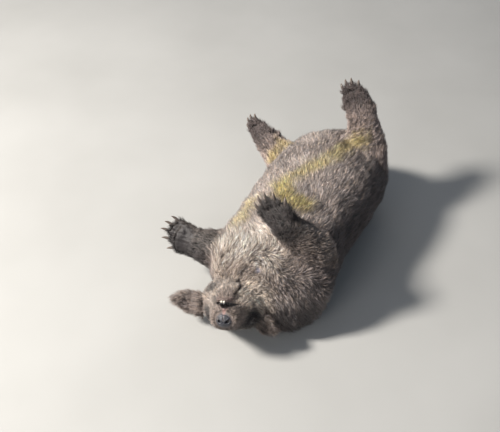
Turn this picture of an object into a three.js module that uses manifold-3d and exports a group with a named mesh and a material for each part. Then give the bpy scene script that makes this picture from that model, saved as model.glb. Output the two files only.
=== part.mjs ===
// A bare-nosed wombat lying on its back, life size, in millimetres.
// The animal is built in its own body frame: x to its right, y towards its tail, z out of its belly.
// At the end the whole body leans onto its left side and rests on the floor plane z = 0.
import * as THREE from 'three';
import { mergeVertices } from 'three/addons/utils/BufferGeometryUtils.js';
import Module from 'manifold-3d';

const wasm = await Module();
wasm.setup();

// Driving dimensions
const GAP = 0.3; // clearance between neighbouring solids
const LEAN_DEG = 20; // how far the body leans onto its left side
const AXIS_HEIGHT = 119; // height of the body's long axis above the floor
const TORSO_WIDTH = 356; // across the widest part of the belly
const TORSO_DEPTH = 252; // from belly to back before the back flattens on the floor
const HEAD_LENGTH = 215; // from the nape to the front of the muzzle
const HEAD_WIDTH = 184; // across the cheeks
const EYE_RADIUS = 9;
const TAIL_LENGTH = 34;
const FORE_CLAW_LENGTH = 21;
const HIND_CLAW_LENGTH = 16;

// Places along the body, on the y axis
const NECK_CUT_Y = -196; // neck meets chest
const CHEST_CUT_Y = -30; // chest meets belly
const BELLY_CUT_Y = 214; // belly meets rump

const LEAN = THREE.MathUtils.degToRad(LEAN_DEG);
const REACH = 1600; // larger than the animal, for the blocks that cut it

const vec = (x, y, z) => new THREE.Vector3(x, y, z);

// Smooth value through the stations, each [place, value, value, ...].
function along(stations, place, column) {
  const last = stations.length - 1;
  const clamped = THREE.MathUtils.clamp(place, stations[0][0], stations[last][0]);
  let i = 0;
  while (i < last - 1 && clamped > stations[i + 1][0]) i += 1;
  const before = stations[Math.max(i - 1, 0)];
  const a = stations[i];
  const b = stations[i + 1];
  const after = stations[Math.min(i + 2, last)];
  const span = b[0] - a[0];
  const t = (clamped - a[0]) / span;
  const slopeA = ((b[column] - before[column]) / (b[0] - before[0] || span)) * span;
  const slopeB = ((after[column] - a[column]) / (after[0] - a[0] || span)) * span;
  const t2 = t * t;
  const t3 = t2 * t;
  return (
    (2 * t3 - 3 * t2 + 1) * a[column] +
    (t3 - 2 * t2 + t) * slopeA +
    (3 * t2 - 2 * t3) * b[column] +
    (t3 - t2) * slopeB
  );
}

// A closed skin around an axis: place(t, angle) gives the point at t = 0..1 along it.
function skin(sidesAround, stepsAlong, place) {
  const geometry = new THREE.SphereGeometry(1, sidesAround, stepsAlong);
  const position = geometry.getAttribute('position');
  const columns = sidesAround + 1;
  for (let i = 0; i < position.count; i += 1) {
    const t = Math.floor(i / columns) / stepsAlong;
    const angle = ((i % columns) / sidesAround) * Math.PI * 2;
    const p = place(t, (i % columns) === sidesAround ? 0 : angle);
    position.setXYZ(i, p.x, p.y, p.z);
  }
  return geometry;
}

// Turns a closed geometry into a solid that can be joined and cut.
function solidOf(geometry) {
  const bare = geometry.clone();
  bare.deleteAttribute('normal');
  bare.deleteAttribute('uv');
  const merged = mergeVertices(bare, 1e-4);
  const triVerts = new Uint32Array(merged.index.array);
  const vertProperties = new Float32Array(merged.attributes.position.array);
  const solid = new wasm.Manifold(new wasm.Mesh({ numProp: 3, vertProperties, triVerts }));
  if (solid.volume() > 0) return solid;
  for (let i = 0; i < triVerts.length; i += 3) {
    [triVerts[i + 1], triVerts[i + 2]] = [triVerts[i + 2], triVerts[i + 1]];
  }
  return new wasm.Manifold(new wasm.Mesh({ numProp: 3, vertProperties, triVerts }));
}

// The vertices and triangles of a solid as a geometry.
function geometryOf(solid) {
  const mesh = solid.getMesh();
  const positions = new Float32Array(mesh.numVert * 3);
  for (let i = 0; i < mesh.numVert; i += 1) {
    positions.set(mesh.vertProperties.subarray(i * mesh.numProp, i * mesh.numProp + 3), i * 3);
  }
  const geometry = new THREE.BufferGeometry();
  geometry.setAttribute('position', new THREE.BufferAttribute(positions, 3));
  geometry.setIndex(new THREE.BufferAttribute(new Uint32Array(mesh.triVerts), 1));
  geometry.computeVertexNormals();
  return geometry;
}

// The same solid grown by the clearance, so that what is cut by it keeps that distance.
function grown(solid, distance = GAP) {
  const geometry = geometryOf(solid);
  const position = geometry.getAttribute('position');
  const normal = geometry.getAttribute('normal');
  for (let i = 0; i < position.count; i += 1) {
    position.setXYZ(
      i,
      position.getX(i) + normal.getX(i) * distance,
      position.getY(i) + normal.getY(i) * distance,
      position.getZ(i) + normal.getZ(i) * distance,
    );
  }
  return solidOf(geometry);
}

// The largest closed body of a solid: what a cut leaves loose is dropped, and so is a sliver that comes
// loose once the corners are rounded to single precision.
function largest(solid) {
  const bodies = solid.decompose();
  const body = bodies.reduce((best, other) => (other.volume() > best.volume() ? other : best));
  const rounded = solidOf(geometryOf(body));
  return rounded.decompose().length > 1 ? largest(rounded) : body;
}

// A block that fills the side of a plane that its normal points to.
function sideOf(point, normal) {
  const geometry = new THREE.BoxGeometry(REACH, REACH, REACH);
  geometry.translate(0, 0, REACH / 2);
  const turn = new THREE.Quaternion().setFromUnitVectors(vec(0, 0, 1), normal.clone().normalize());
  geometry.applyQuaternion(turn);
  geometry.translate(point.x, point.y, point.z);
  return solidOf(geometry);
}

// A ball stretched along its own three axes, for bulges and hollows.
function ball(centre, radii, axes, sides = 12) {
  const geometry = new THREE.SphereGeometry(1, sides, Math.max(6, Math.round(sides * 0.7)));
  const turn = new THREE.Matrix4().makeBasis(axes[0], axes[1], axes[2]);
  geometry.scale(radii[0], radii[1], radii[2]);
  geometry.applyMatrix4(turn);
  geometry.translate(centre.x, centre.y, centre.z);
  return solidOf(geometry);
}

// A tapering round or flat bar through points, its two ends closed by flat faces.
// Stations give [t, half width, half thickness].
function bar(points, stations, wideDirection, sides, steps) {
  const path = new THREE.CatmullRomCurve3(points, false, 'centripetal');
  const rings = steps + 2;
  return skin(sides, rings, (t, angle) => {
    const step = Math.round(t * rings);
    const place = THREE.MathUtils.clamp((step - 1) / steps, 0, 1);
    const centre = path.getPoint(place);
    if (step === 0 || step === rings) return centre;
    const tangent = path.getTangent(place);
    const wide = wideDirection.clone().addScaledVector(tangent, -wideDirection.dot(tangent)).normalize();
    const thick = new THREE.Vector3().crossVectors(tangent, wide);
    return centre
      .addScaledVector(wide, along(stations, place, 1) * Math.cos(angle))
      .addScaledVector(thick, along(stations, place, 2) * Math.sin(angle));
  });
}

// Torso and neck: [y, half width, belly rise, back drop, shift in x, shift in z, twist in degrees].
// The neck turns back towards level, because the crown lies flat on the floor.
const W = TORSO_WIDTH / 2;
const D = TORSO_DEPTH / 2;
const TORSO = [
  [-312, W * 0.3, D * 0.3, D * 0.32, 4, -58, -26],
  [-290, W * 0.62, D * 0.54, D * 0.54, 0, -48, -26],
  [-240, W * 0.9, D * 0.8, D * 0.74, 4, -28, -22],
  [-200, W * 0.97, D * 0.9, D * 0.86, 8, -12, -12],
  [-140, W * 0.97, D * 0.97, D * 0.92, 6, -2, -3],
  [-40, W * 0.95, D * 1.0, D * 0.95, 0, 0, 0],
  [80, W * 1.0, D * 1.04, D * 0.97, 0, 0, 0],
  [200, W * 0.99, D * 1.06, D * 0.97, 0, 0, 0],
  [290, W * 0.9, D * 0.99, D * 0.9, 0, -2, 0],
  [350, W * 0.7, D * 0.76, D * 0.74, 0, -6, 0],
  [386, W * 0.4, D * 0.36, D * 0.46, 0, -10, 0],
  [400, W * 0.14, D * 0.12, D * 0.18, 0, -14, 0],
];
const TORSO_SQUARENESS = 2.3; // 2 is an ellipse
const TORSO_SIDES = 32;
const TORSO_STEPS = 32;

function torsoPoint(y, angle) {
  const c = Math.cos(angle);
  const s = Math.sin(angle);
  const power = 2 / TORSO_SQUARENESS;
  const wide = along(TORSO, y, 1) * Math.sign(c) * Math.abs(c) ** power;
  const rise = along(TORSO, y, s > 0 ? 2 : 3) * Math.sign(s) * Math.abs(s) ** power;
  const twist = THREE.MathUtils.degToRad(along(TORSO, y, 6));
  const x = wide * Math.cos(twist) - rise * Math.sin(twist);
  const z = wide * Math.sin(twist) + rise * Math.cos(twist);
  return vec(x + along(TORSO, y, 4), y, z + along(TORSO, y, 5));
}

function torsoSolid() {
  const first = TORSO[0][0];
  const last = TORSO[TORSO.length - 1][0];
  const middle = (first + last) / 2;
  const half = (last - first) / 2;
  const made = skin(TORSO_SIDES, TORSO_STEPS, (t, angle) => {
    const eased = -Math.cos(t * Math.PI);
    const y = middle + half * (0.55 * eased + 0.45 * (2 * t - 1));
    if (t === 0) return vec(along(TORSO, first, 4), first, along(TORSO, first, 5));
    if (t === 1) return vec(along(TORSO, last, 4), last, along(TORSO, last, 5));
    return torsoPoint(y, -angle);
  });
  return solidOf(made);
}

// Head frame, seen in the leaning pose: the head turns to its right, lifts its muzzle off the floor
// and lies nearly level on its crown. Forward points out of the face, side to the right ear, and
// throat from the crown to the throat.
const HEAD = { nose: vec(-4, -413, 28), yawDeg: 13, pitchDeg: 32, rollDeg: 7 };

function headAxesInBody() {
  const yaw = THREE.MathUtils.degToRad(HEAD.yawDeg);
  const pitch = THREE.MathUtils.degToRad(HEAD.pitchDeg);
  const roll = THREE.MathUtils.degToRad(HEAD.rollDeg);
  const ahead = vec(Math.sin(yaw) * Math.cos(pitch), -Math.cos(yaw) * Math.cos(pitch), Math.sin(pitch));
  const level = vec(Math.cos(yaw), Math.sin(yaw), 0);
  const rise = new THREE.Vector3().crossVectors(ahead, level);
  const toEar = level.clone().multiplyScalar(Math.cos(roll)).addScaledVector(rise, Math.sin(roll));
  const toThroat = rise.clone().multiplyScalar(Math.cos(roll)).addScaledVector(level, -Math.sin(roll));
  return [toEar, ahead, toThroat].map((axis) => axis.applyAxisAngle(vec(0, 1, 0), LEAN));
}

const headAxes = headAxesInBody();
const [side, forward, throat] = headAxes;
const noseFront = HEAD.nose.clone().applyAxisAngle(vec(0, 1, 0), LEAN);

// A point of the head: behind the muzzle's front, to the right, and towards the throat.
function inHead(behind, right, down) {
  return noseFront
    .clone()
    .addScaledVector(forward, -behind)
    .addScaledVector(side, right)
    .addScaledVector(throat, down);
}

// Skull and muzzle: [behind the muzzle front, half width, throat edge, crown edge, widest level]
const H = HEAD_WIDTH / 2;
const SKULL = [
  [0, H * 0.14, 6, -9, 0],
  [3, H * 0.27, 15, -18, 0],
  [12, H * 0.35, 24, -27, 0],
  [28, H * 0.39, 31, -33, 0],
  [48, H * 0.49, 38, -40, 0],
  [72, H * 0.68, 50, -49, 0],
  [100, H * 0.89, 62, -57, 0],
  [134, H * 1.0, 68, -61, 0],
  [172, H * 0.95, 66, -58, 0],
  [HEAD_LENGTH, H * 0.78, 56, -48, 0],
];
const CHIN = [
  [31, 8, 42, 36, 39],
  [34, 15, 48, 30, 39],
  [46, 22, 55, 20, 38],
  [66, 30, 62, 10, 36],
  [94, 40, 70, 0, 34],
  [130, 44, 74, -10, 30],
  [170, 40, 70, -10, 30],
];
const SECTION_POWER = 0.44; // 0.5 is an ellipse, less is squarer
const MOUTH = {
  cornerBehind: 42,
  cornerDown: 28,
  roofBehind: 2,
  roofDown: 27,
  floorBehind: 24,
  floorDown: 37.5,
};
const CHEEK_MARGIN = 6; // between the right cheek and the cut that parts it from the neck
const JAW_SLIDE = -12; // the slack jaw hangs to the left at its front
const JAW_BACK = 118; // where the lower jaw meets the throat, behind the muzzle front
const JAW_HALF_WIDTH = { front: 17, back: 48 }; // at the muzzle front and at the back of the jaw

// How far the jaw is to the side, at a place behind the muzzle front.
const jawSide = (behind) => JAW_SLIDE * THREE.MathUtils.clamp(1 - behind / JAW_BACK, 0, 1);

// A closed form around the head's own axis, from stations behind the muzzle front.
function headForm(stations, sides, steps, spacing, aside = () => 0) {
  const first = stations[0][0];
  const last = stations[stations.length - 1][0];
  const made = skin(sides, steps, (t, angle) => {
    const behind = first + (last - first) * spacing(t);
    const level = along(stations, behind, 4);
    if (t === 0 || t === 1) return inHead(behind, aside(behind), level);
    const c = Math.cos(angle);
    const s = Math.sin(angle);
    const edge = along(stations, behind, s > 0 ? 2 : 3);
    const wide = along(stations, behind, 1) * Math.sign(c) * Math.abs(c) ** (2 * SECTION_POWER);
    const down = level + (edge - level) * Math.abs(s) ** (2 * SECTION_POWER);
    return inHead(behind, wide + aside(behind), down);
  });
  return solidOf(made);
}

// Half width of the muzzle at a height below its axis.
function muzzleHalfWidth(behind, down) {
  const ratio = Math.min(0.98, Math.abs(down) / along(SKULL, behind, 2));
  return along(SKULL, behind, 1) * (1 - ratio ** (1 / SECTION_POWER)) ** SECTION_POWER;
}

// A prism across the head from an outline of [behind, down] corners, narrower towards the muzzle.
function headPrism(corners, extra = 0) {
  const shape = new THREE.Shape(corners.map(([behind, down]) => new THREE.Vector2(behind, down)));
  const geometry = new THREE.ExtrudeGeometry(shape, { depth: 1, bevelEnabled: false });
  const position = geometry.getAttribute('position');
  const { front, back } = JAW_HALF_WIDTH;
  for (let i = 0; i < position.count; i += 1) {
    const behind = position.getX(i);
    const half = front + (back - front) * (behind / JAW_BACK) + extra;
    const p = inHead(behind, position.getZ(i) > 0.5 ? half : -half, position.getY(i));
    position.setXYZ(i, p.x, p.y, p.z);
  }
  return solidOf(geometry);
}

// Nose pad: a broad bare cushion with two comma shaped nostrils.
const NOSE = { halfWidth: 20, halfHeight: 17, halfDepth: 11, behind: 7, down: -4 };

function nosePadSolid() {
  const radii = [NOSE.halfWidth, NOSE.halfDepth, NOSE.halfHeight];
  const pad = ball(inHead(NOSE.behind, 0, NOSE.down), radii, headAxes, 16);
  return [-1, 1].reduce((rest, way) => {
    const mouthOfNostril = inHead(NOSE.behind - NOSE.halfDepth - 2, way * 9, NOSE.down - 1);
    const inner = inHead(NOSE.behind - 1, way * 10, NOSE.down);
    const outer = inHead(NOSE.behind - NOSE.halfDepth + 4, way * 17.5, NOSE.down + 6);
    const bore = bar([mouthOfNostril, inner], [[0, 4.6, 5], [1, 3.2, 3.6]], side, 8, 2);
    const comma = bar([mouthOfNostril, outer], [[0, 4, 4], [1, 1.4, 1.4]], throat, 6, 3);
    return rest.subtract(solidOf(bore)).subtract(solidOf(comma));
  }, pad);
}

// Eyes and lids: places on the skull, with the eyeball behind an almond shaped slit.
const EYE = { behind: 72, out: 53, down: -15, lid: 2.6, slitHalfLength: 8.5, slitHalfHeight: 3.6 };

function eyeCentre(way) {
  return inHead(EYE.behind, way * EYE.out, EYE.down);
}

// Out of the eye, and the line of the lids across it.
function eyeAxes(way) {
  const out = side.clone().multiplyScalar(way * 0.86);
  out.addScaledVector(forward, 0.42).addScaledVector(throat, -0.2);
  out.normalize();
  const line = forward.clone().addScaledVector(throat, 0.22);
  line.addScaledVector(out, -line.dot(out)).normalize();
  const across = new THREE.Vector3().crossVectors(out, line);
  return [line, across, out];
}

function eyeSolid(way) {
  return ball(eyeCentre(way), [EYE_RADIUS, EYE_RADIUS, EYE_RADIUS], eyeAxes(way), 12);
}

function withEyes(head) {
  return [-1, 1].reduce((rest, way) => {
    const centre = eyeCentre(way);
    const axes = eyeAxes(way);
    const lidRadius = EYE_RADIUS + EYE.lid;
    const lids = ball(centre, [lidRadius + 2, lidRadius, lidRadius], axes, 12);
    const slitCentre = centre.clone().addScaledVector(axes[2], EYE_RADIUS);
    const slit = ball(slitCentre, [EYE.slitHalfLength, EYE.slitHalfHeight, EYE_RADIUS], axes, 12);
    const socketRadius = EYE_RADIUS + GAP;
    const socket = ball(centre, [socketRadius, socketRadius, socketRadius], axes, 12);
    return rest.add(lids).subtract(slit).subtract(socket);
  }, head);
}

// Lips: one soft roll round the rim of the upper mouth and one round the rim of the lower.
const LIP_RADIUS = 4;

function lipSolid(lower) {
  const reach = lower ? [46, 38, 33] : [44, 32, 20, 12];
  const down = lower ? [33, 37, 40] : [29, 28, 26, 24];
  const half = (way) => reach.map((behind, i) => {
    const wide = lower ? along(CHIN, behind, 1) - 2 : muzzleHalfWidth(behind, 26) - 3;
    return inHead(behind, way * wide + (lower ? jawSide(behind) : 0), down[i]);
  });
  const front = lower ? inHead(30, jawSide(30), 40) : inHead(8, 0, 23);
  const points = [...half(-1), front, ...half(1).reverse()];
  const r = LIP_RADIUS;
  return solidOf(bar(points, [[0, 1.5, 1.5], [0.15, r, r], [0.85, r, r], [1, 1.5, 1.5]], throat, 7, 14));
}

// Incisors: the pair at the tip of the jaw. The upper pair is hidden behind the lip.
const TOOTH = { halfWidth: 2.7, halfThickness: 1.9, spacing: 3.1 };

function toothSolid(way) {
  const right = way * TOOTH.spacing + jawSide(33);
  const points = [inHead(46, right, 45), inHead(33, right, 41), inHead(23, right, 35)];
  const stations = [
    [0, TOOTH.halfWidth, TOOTH.halfThickness],
    [0.7, TOOTH.halfWidth, TOOTH.halfThickness],
    [1, TOOTH.halfWidth * 0.7, TOOTH.halfThickness * 0.35],
  ];
  return solidOf(bar(points, stations, side, 8, 4));
}

// Ears: short rounded leaves with a hollow cup. The floor presses the left one up and outwards and the
// neck presses the right one forwards.
const EARS = {
  left: { behind: 114, out: 78, down: -8, height: 84, halfWidth: 34, lean: 0.2, rise: 0.26 },
  right: { behind: 112, out: 62, down: -34, height: 60, halfWidth: 28, lean: 0.62, rise: -0.24 },
};
const EAR_HALF_THICKNESS = 12;

function earSolid(way) {
  const { behind, out, down, height, halfWidth, lean, rise } = way > 0 ? EARS.right : EARS.left;
  const root = inHead(behind, way * out, down);
  const outward = side.clone().multiplyScalar(way).addScaledVector(throat, rise);
  outward.addScaledVector(forward, lean).normalize();
  const wide = throat.clone().addScaledVector(forward, 0.35);
  wide.addScaledVector(outward, -wide.dot(outward)).normalize();
  const face = new THREE.Vector3().crossVectors(outward, wide).multiplyScalar(way);
  const tip = root.clone().addScaledVector(outward, height);
  const middle = root.clone().addScaledVector(outward, height * 0.5).addScaledVector(face, -4);
  const thick = EAR_HALF_THICKNESS;
  const stations = [
    [0, halfWidth * 1.1, thick * 1.3],
    [0.45, halfWidth, thick],
    [0.8, halfWidth * 0.68, thick * 0.8],
    [1, halfWidth * 0.18, thick * 0.3],
  ];
  const leaf = solidOf(bar([root, middle, tip], stations, wide, 12, 7));
  const cupCentre = root.clone().addScaledVector(outward, height * 0.56).addScaledVector(face, thick);
  const cup = ball(cupCentre, [height * 0.34, halfWidth * 0.66, thick * 1.1], [outward, wide, face], 12);
  return leaf.subtract(cup);
}

// Tail: a short bare stub at the end of the back.
function tailSolid() {
  const root = vec(4, 372, -52);
  const tip = vec(6, 372 + TAIL_LENGTH + 12, -66);
  const stations = [[0, 19, 17], [0.5, 15, 13], [0.85, 9, 8], [1, 2, 2]];
  return solidOf(bar([root, vec(5, 396, -56), tip], stations, vec(1, 0, 0), 12, 8));
}

// Limbs: path is root, joint, wrist; bend is how far the elbow or knee cut lies from the path's third
// point towards its second; paw tells where the foot points and which way its back faces.
const LIMBS = {
  foreleg_right: {
    path: [vec(86, -150, -44), vec(128, -160, 40), vec(116, -170, 92), vec(95, -174, 128)],
    girth: [[0, 66, 50], [0.3, 70, 50], [0.62, 55, 40], [1, 38, 27]],
    bend: 0.35,
    paw: { direction: vec(-0.33, 0.02, 0.94), back: vec(0.1, -1, 0), outward: 1, kind: 'fore' },
  },
  foreleg_left: {
    path: [vec(-70, -142, -40), vec(-118, -174, 22), vec(-152, -196, 56), vec(-184, -209, 78)],
    girth: [[0, 74, 84], [0.3, 66, 70], [0.62, 54, 50], [1, 40, 30]],
    bend: -0.1,
    paw: { direction: vec(-0.86, -0.08, 0.5), back: vec(0.2, 0.75, -0.6), outward: -1, kind: 'fore' },
  },
  hindleg_right: {
    path: [vec(66, 246, -36), vec(98, 268, 40), vec(114, 288, 108), vec(116, 304, 172)],
    girth: [[0, 88, 80], [0.3, 80, 74], [0.5, 67, 61], [0.72, 49, 45], [1, 40, 35]],
    bend: 0.35,
    paw: { direction: vec(-0.26, 0.18, 0.95), back: vec(0.15, -1, 0.1), outward: 1, kind: 'hind' },
  },
  hindleg_left: {
    path: [vec(-84, 240, -36), vec(-132, 246, 20), vec(-164, 250, 66), vec(-190, 254, 106)],
    girth: [[0, 84, 70], [0.3, 74, 62], [0.62, 58, 50], [1, 42, 34]],
    bend: 0.35,
    paw: { direction: vec(-0.5, 0.1, 0.86), back: vec(-0.1, -1, 0.1), outward: -1, kind: 'hind' },
  },
};

// Paws: palm length and half sizes, and each digit's knuckle as [across, reach, claw turn in degrees].
const PAWS = {
  fore: {
    palm: 68,
    halfWidth: 45,
    halfThickness: 21,
    toeRadius: 11.5,
    claw: FORE_CLAW_LENGTH,
    digits: [[-38, 74, -18], [-20, 86, -9], [0, 90, 0], [20, 80, 9], [38, 58, 24]],
  },
  hind: {
    palm: 72,
    halfWidth: 39,
    halfThickness: 22,
    toeRadius: 11,
    claw: HIND_CLAW_LENGTH,
    digits: [[-38, 46, -26], [-22, 86, -8], [-7, 93, -2], [9, 91, 4], [25, 78, 14]],
  },
};
const CLAW_RADIUS = 4.4;
const HEEL_RADIUS = 21;

// Axes of a paw: across towards the animal's outer side, along the digits, and out of its back.
function pawAxes(paw) {
  const distal = paw.direction.clone().normalize();
  const back = paw.back.clone().addScaledVector(distal, -paw.back.dot(distal)).normalize();
  const across = new THREE.Vector3().crossVectors(distal, back);
  if (across.x * paw.outward < 0) across.negate();
  return { across, distal, back };
}

function inPaw(limb, across, reach, up) {
  const axes = pawAxes(limb.paw);
  const wrist = limb.path[limb.path.length - 1];
  return wrist
    .clone()
    .addScaledVector(axes.across, across)
    .addScaledVector(axes.distal, reach)
    .addScaledVector(axes.back, up);
}

function limbSolid(limb) {
  const shape = PAWS[limb.paw.kind];
  const axes = pawAxes(limb.paw);
  const points = [...limb.path, inPaw(limb, 0, shape.palm * 0.5, 0), inPaw(limb, 0, shape.palm, -2)];
  const knots = limb.girth.map(([t, wide, thick]) => [t * 0.66, wide, thick]);
  knots.push([0.84, shape.halfWidth, shape.halfThickness]);
  knots.push([0.95, shape.halfWidth * 0.86, shape.halfThickness * 0.82]);
  knots.push([1, shape.halfWidth * 0.3, shape.halfThickness * 0.3]);
  let solid = solidOf(bar(points, knots, axes.across, 16, 18));
  for (const [across, reach] of shape.digits) {
    const toe = [
      inPaw(limb, across * 0.72, reach - 30, 0),
      inPaw(limb, across * 0.9, reach - 12, 2.5),
      inPaw(limb, across, reach, -1),
    ];
    const r = shape.toeRadius;
    const stations = [[0, 3, 3], [0.3, r, r], [0.75, r, r * 0.9], [1, 2, 2]];
    solid = solid.add(solidOf(bar(toe, stations, axes.across, 6, 4)));
  }
  return solid.add(padsOf(limb, shape, axes));
}

// Bare pads on the sole: one at the root of the digits and one at the heel of the hand or foot.
function padsOf(limb, shape, axes) {
  const frame = [axes.across, axes.distal, axes.back];
  const under = -shape.halfThickness * 0.72;
  const mainRadii = [shape.halfWidth * 0.74, shape.palm * 0.26, 9];
  const main = ball(inPaw(limb, 0, shape.palm * 0.7, under), mainRadii, frame, 8);
  const heelRadii = [shape.halfWidth * 0.56, HEEL_RADIUS, 10];
  const heel = ball(inPaw(limb, 2, shape.palm * 0.16, under), heelRadii, frame, 8);
  return main.add(heel);
}

function clawSolid(limb, digit) {
  const shape = PAWS[limb.paw.kind];
  const [across, reach, turnDeg] = shape.digits[digit];
  const turn = THREE.MathUtils.degToRad(turnDeg);
  const length = shape.claw;
  const ahead = Math.cos(turn);
  const aside = Math.sin(turn);
  const point = (far, up) => inPaw(limb, across + aside * far, reach + ahead * far, up);
  const points = [point(-7, 1), point(length * 0.35, 3), point(length * 0.75, 0), point(length, -6)];
  const r = CLAW_RADIUS;
  const stations = [[0, r * 0.7, r * 0.8], [0.3, r, r * 1.15], [0.7, r * 0.66, r * 0.8], [1, 0.35, 0.35]];
  return solidOf(bar(points, stations, pawAxes(limb.paw).across, 6, 4));
}

// Materials, by the look of the coat and of the bare parts
const material = (color, roughness) => new THREE.MeshStandardMaterial({ color, roughness, metalness: 0 });
const coat = material(0x6f5f55, 0.9);
const darkCoat = material(0x3a3131, 0.9);
const bareSkin = material(0x4b4a52, 0.6);
const horn = material(0x3b3432, 0.45);
const enamel = material(0xe6dcc4, 0.35);
const eyeDark = material(0x120c0a, 0.12);

const animal = new THREE.Group();
function addNode(name, solid, look) {
  const mesh = new THREE.Mesh(geometryOf(solid), look);
  mesh.name = name;
  animal.add(mesh);
}

// The floor in the body frame, from which the back, neck and crown take their flats.
const floorNormal = vec(-Math.sin(LEAN), 0, -Math.cos(LEAN));
const floor = sideOf(floorNormal.clone().multiplyScalar(AXIS_HEIGHT), floorNormal);

// Trunk: torso, skull and chin joined, rested on the floor and parted into the regions of the body.
const nosePad = nosePadSolid();
const skull = headForm(SKULL, 32, 24, (t) => 0.25 * (1 - Math.cos(t * Math.PI)) + 0.5 * t);
const chin = headForm(CHIN, 20, 10, (t) => t ** 1.25, jawSide);
const torso = torsoSolid();
const trunk = torso.add(skull).add(chin).add(lipSolid(false)).subtract(floor);

// The mouth: a wedge that opens forwards between the palate and the jaw, and the jaw behind it.
const { cornerBehind, cornerDown, roofBehind, roofDown, floorBehind, floorDown } = MOUTH;
const hinge = [JAW_BACK, cornerDown + 8];
const wedge = headPrism([
  [cornerBehind, cornerDown],
  [roofBehind, roofDown],
  [-20, roofDown],
  [-20, floorDown + 60],
  [floorBehind, floorDown],
]);
const jawBlock = headPrism([
  [cornerBehind, cornerDown + GAP],
  [-20, floorDown + (floorDown - cornerDown)],
  [-20, 120],
  [JAW_BACK + 6, 120],
  hinge,
]).subtract(grown(torso));
const cheekBlock = headPrism([
  [cornerBehind, cornerDown],
  [-20, floorDown + (floorDown - cornerDown) - GAP],
  [-20, 120],
  [JAW_BACK + 6 + GAP, 120],
  [JAW_BACK + GAP, cornerDown + 8],
], GAP).subtract(torso);

// The nape plane runs from the back of the skull to the angle of the jaw, half turned to the body.
const napeNormal = forward.clone().multiplyScalar(0.945).addScaledVector(throat, -0.326);
napeNormal.add(vec(0, -0.9, 0)).normalize();
const napePoint = inHead(HEAD_LENGTH - 43, 0, 0);
const besideCheek = inHead(0, HEAD_WIDTH / 2 + CHEEK_MARGIN, 0);
const headRegion = sideOf(napePoint, napeNormal).intersect(sideOf(besideCheek, side.clone().negate()));
const pastNape = sideOf(napePoint.clone().addScaledVector(napeNormal, -GAP), napeNormal.clone().negate());
const neckRegion = pastNape.add(sideOf(besideCheek.clone().addScaledVector(side, GAP), side));
const before = (y) => sideOf(vec(0, y - GAP / 2, 0), vec(0, -1, 0));
const after = (y) => sideOf(vec(0, y + GAP / 2, 0), vec(0, 1, 0));

const wholeHead = trunk.intersect(headRegion).subtract(grown(nosePad));
const upperHead = wholeHead.subtract(cheekBlock).subtract(wedge);
const lowerJaw = wholeHead.intersect(jawBlock).add(lipSolid(true)).subtract(wedge);
const trunkGrown = grown(trunk);
const headBlock = largest(withEyes(upperHead));
const jaw = largest(lowerJaw.subtract(grown(headBlock)));

addNode('head', headBlock, coat);
addNode('lower_jaw', jaw, coat);
addNode('nose_pad', nosePad, bareSkin);
for (const [name, way] of [['left', -1], ['right', 1]]) {
  addNode(`incisor_lower_${name}`, largest(toothSolid(way).subtract(grown(jaw))), enamel);
}
for (const [name, way] of [['left', -1], ['right', 1]]) {
  addNode(`eye_${name}`, eyeSolid(way), eyeDark);
  addNode(`ear_${name}`, largest(earSolid(way).subtract(trunkGrown).subtract(floor)), darkCoat);
}

addNode('neck', largest(trunk.intersect(neckRegion).intersect(before(NECK_CUT_Y))), coat);
addNode('chest', largest(trunk.intersect(after(NECK_CUT_Y)).intersect(before(CHEST_CUT_Y))), coat);
addNode('belly', largest(trunk.intersect(after(CHEST_CUT_Y)).intersect(before(BELLY_CUT_Y))), coat);
addNode('rump', largest(trunk.intersect(after(BELLY_CUT_Y))), coat);

addNode('tail', largest(tailSolid().subtract(trunkGrown)), bareSkin);

// Limbs: parted at the elbow or knee and at the wrist or ankle, with each claw in its own node.
const UPPER_NAMES = { fore: ['upper_arm', 'forearm', 'forepaw'], hind: ['thigh', 'shank', 'hind_foot'] };
for (const [name, limb] of Object.entries(LIMBS)) {
  const sideName = name.split('_')[1];
  const [upperName, lowerName, pawName] = UPPER_NAMES[limb.paw.kind];
  const whole = largest(limbSolid(limb).subtract(trunkGrown).subtract(floor));
  const joint = limb.path[2].clone().lerp(limb.path[1], limb.bend);
  const shaft = limb.path[3].clone().sub(limb.path[1]).normalize();
  const wrist = limb.path[3];
  const distal = pawAxes(limb.paw).distal;
  const cut = (point, normal) => sideOf(point.clone().addScaledVector(normal, GAP / 2), normal);
  const upper = largest(whole.intersect(cut(joint, shaft.clone().negate())));
  const lower = largest(whole.intersect(cut(joint, shaft)).intersect(cut(wrist, distal.clone().negate())));
  const paw = largest(whole.intersect(cut(wrist, distal)));
  addNode(`${upperName}_${sideName}`, upper, coat);
  addNode(`${lowerName}_${sideName}`, lower, coat);
  const firstClawed = limb.paw.kind === 'hind' ? 1 : 0;
  let socketed = paw;
  for (let digit = firstClawed; digit < 5; digit += 1) {
    const claw = clawSolid(limb, digit);
    socketed = socketed.subtract(grown(claw));
    addNode(`${limb.paw.kind}_claw_${sideName}_${digit + 1}`, claw, horn);
  }
  addNode(`${pawName}_${sideName}`, largest(socketed), darkCoat);
}

// Lean the body onto its left side, then set it on the floor with its box centred on the origin.
animal.rotation.y = -LEAN;
animal.updateMatrixWorld(true);
const box = new THREE.Box3().setFromObject(animal, true);
const centre = box.getCenter(vec(0, 0, 0));
animal.position.set(-centre.x, -centre.y, -box.min.z);

export default animal;
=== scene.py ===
"""A life-size bare-nosed wombat lying on its back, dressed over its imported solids.

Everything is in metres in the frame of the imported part: -Y towards the nose, +X towards the
animal's right side, +Z up out of the belly. One skin replaces the flesh solids, and a coat of
solid tufts stands on it.
"""

import logging
import math
from dataclasses import dataclass, field
from enum import Enum

import bpy
import numpy as np
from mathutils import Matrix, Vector
from mathutils.bvhtree import BVHTree
from mathutils.kdtree import KDTree


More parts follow.
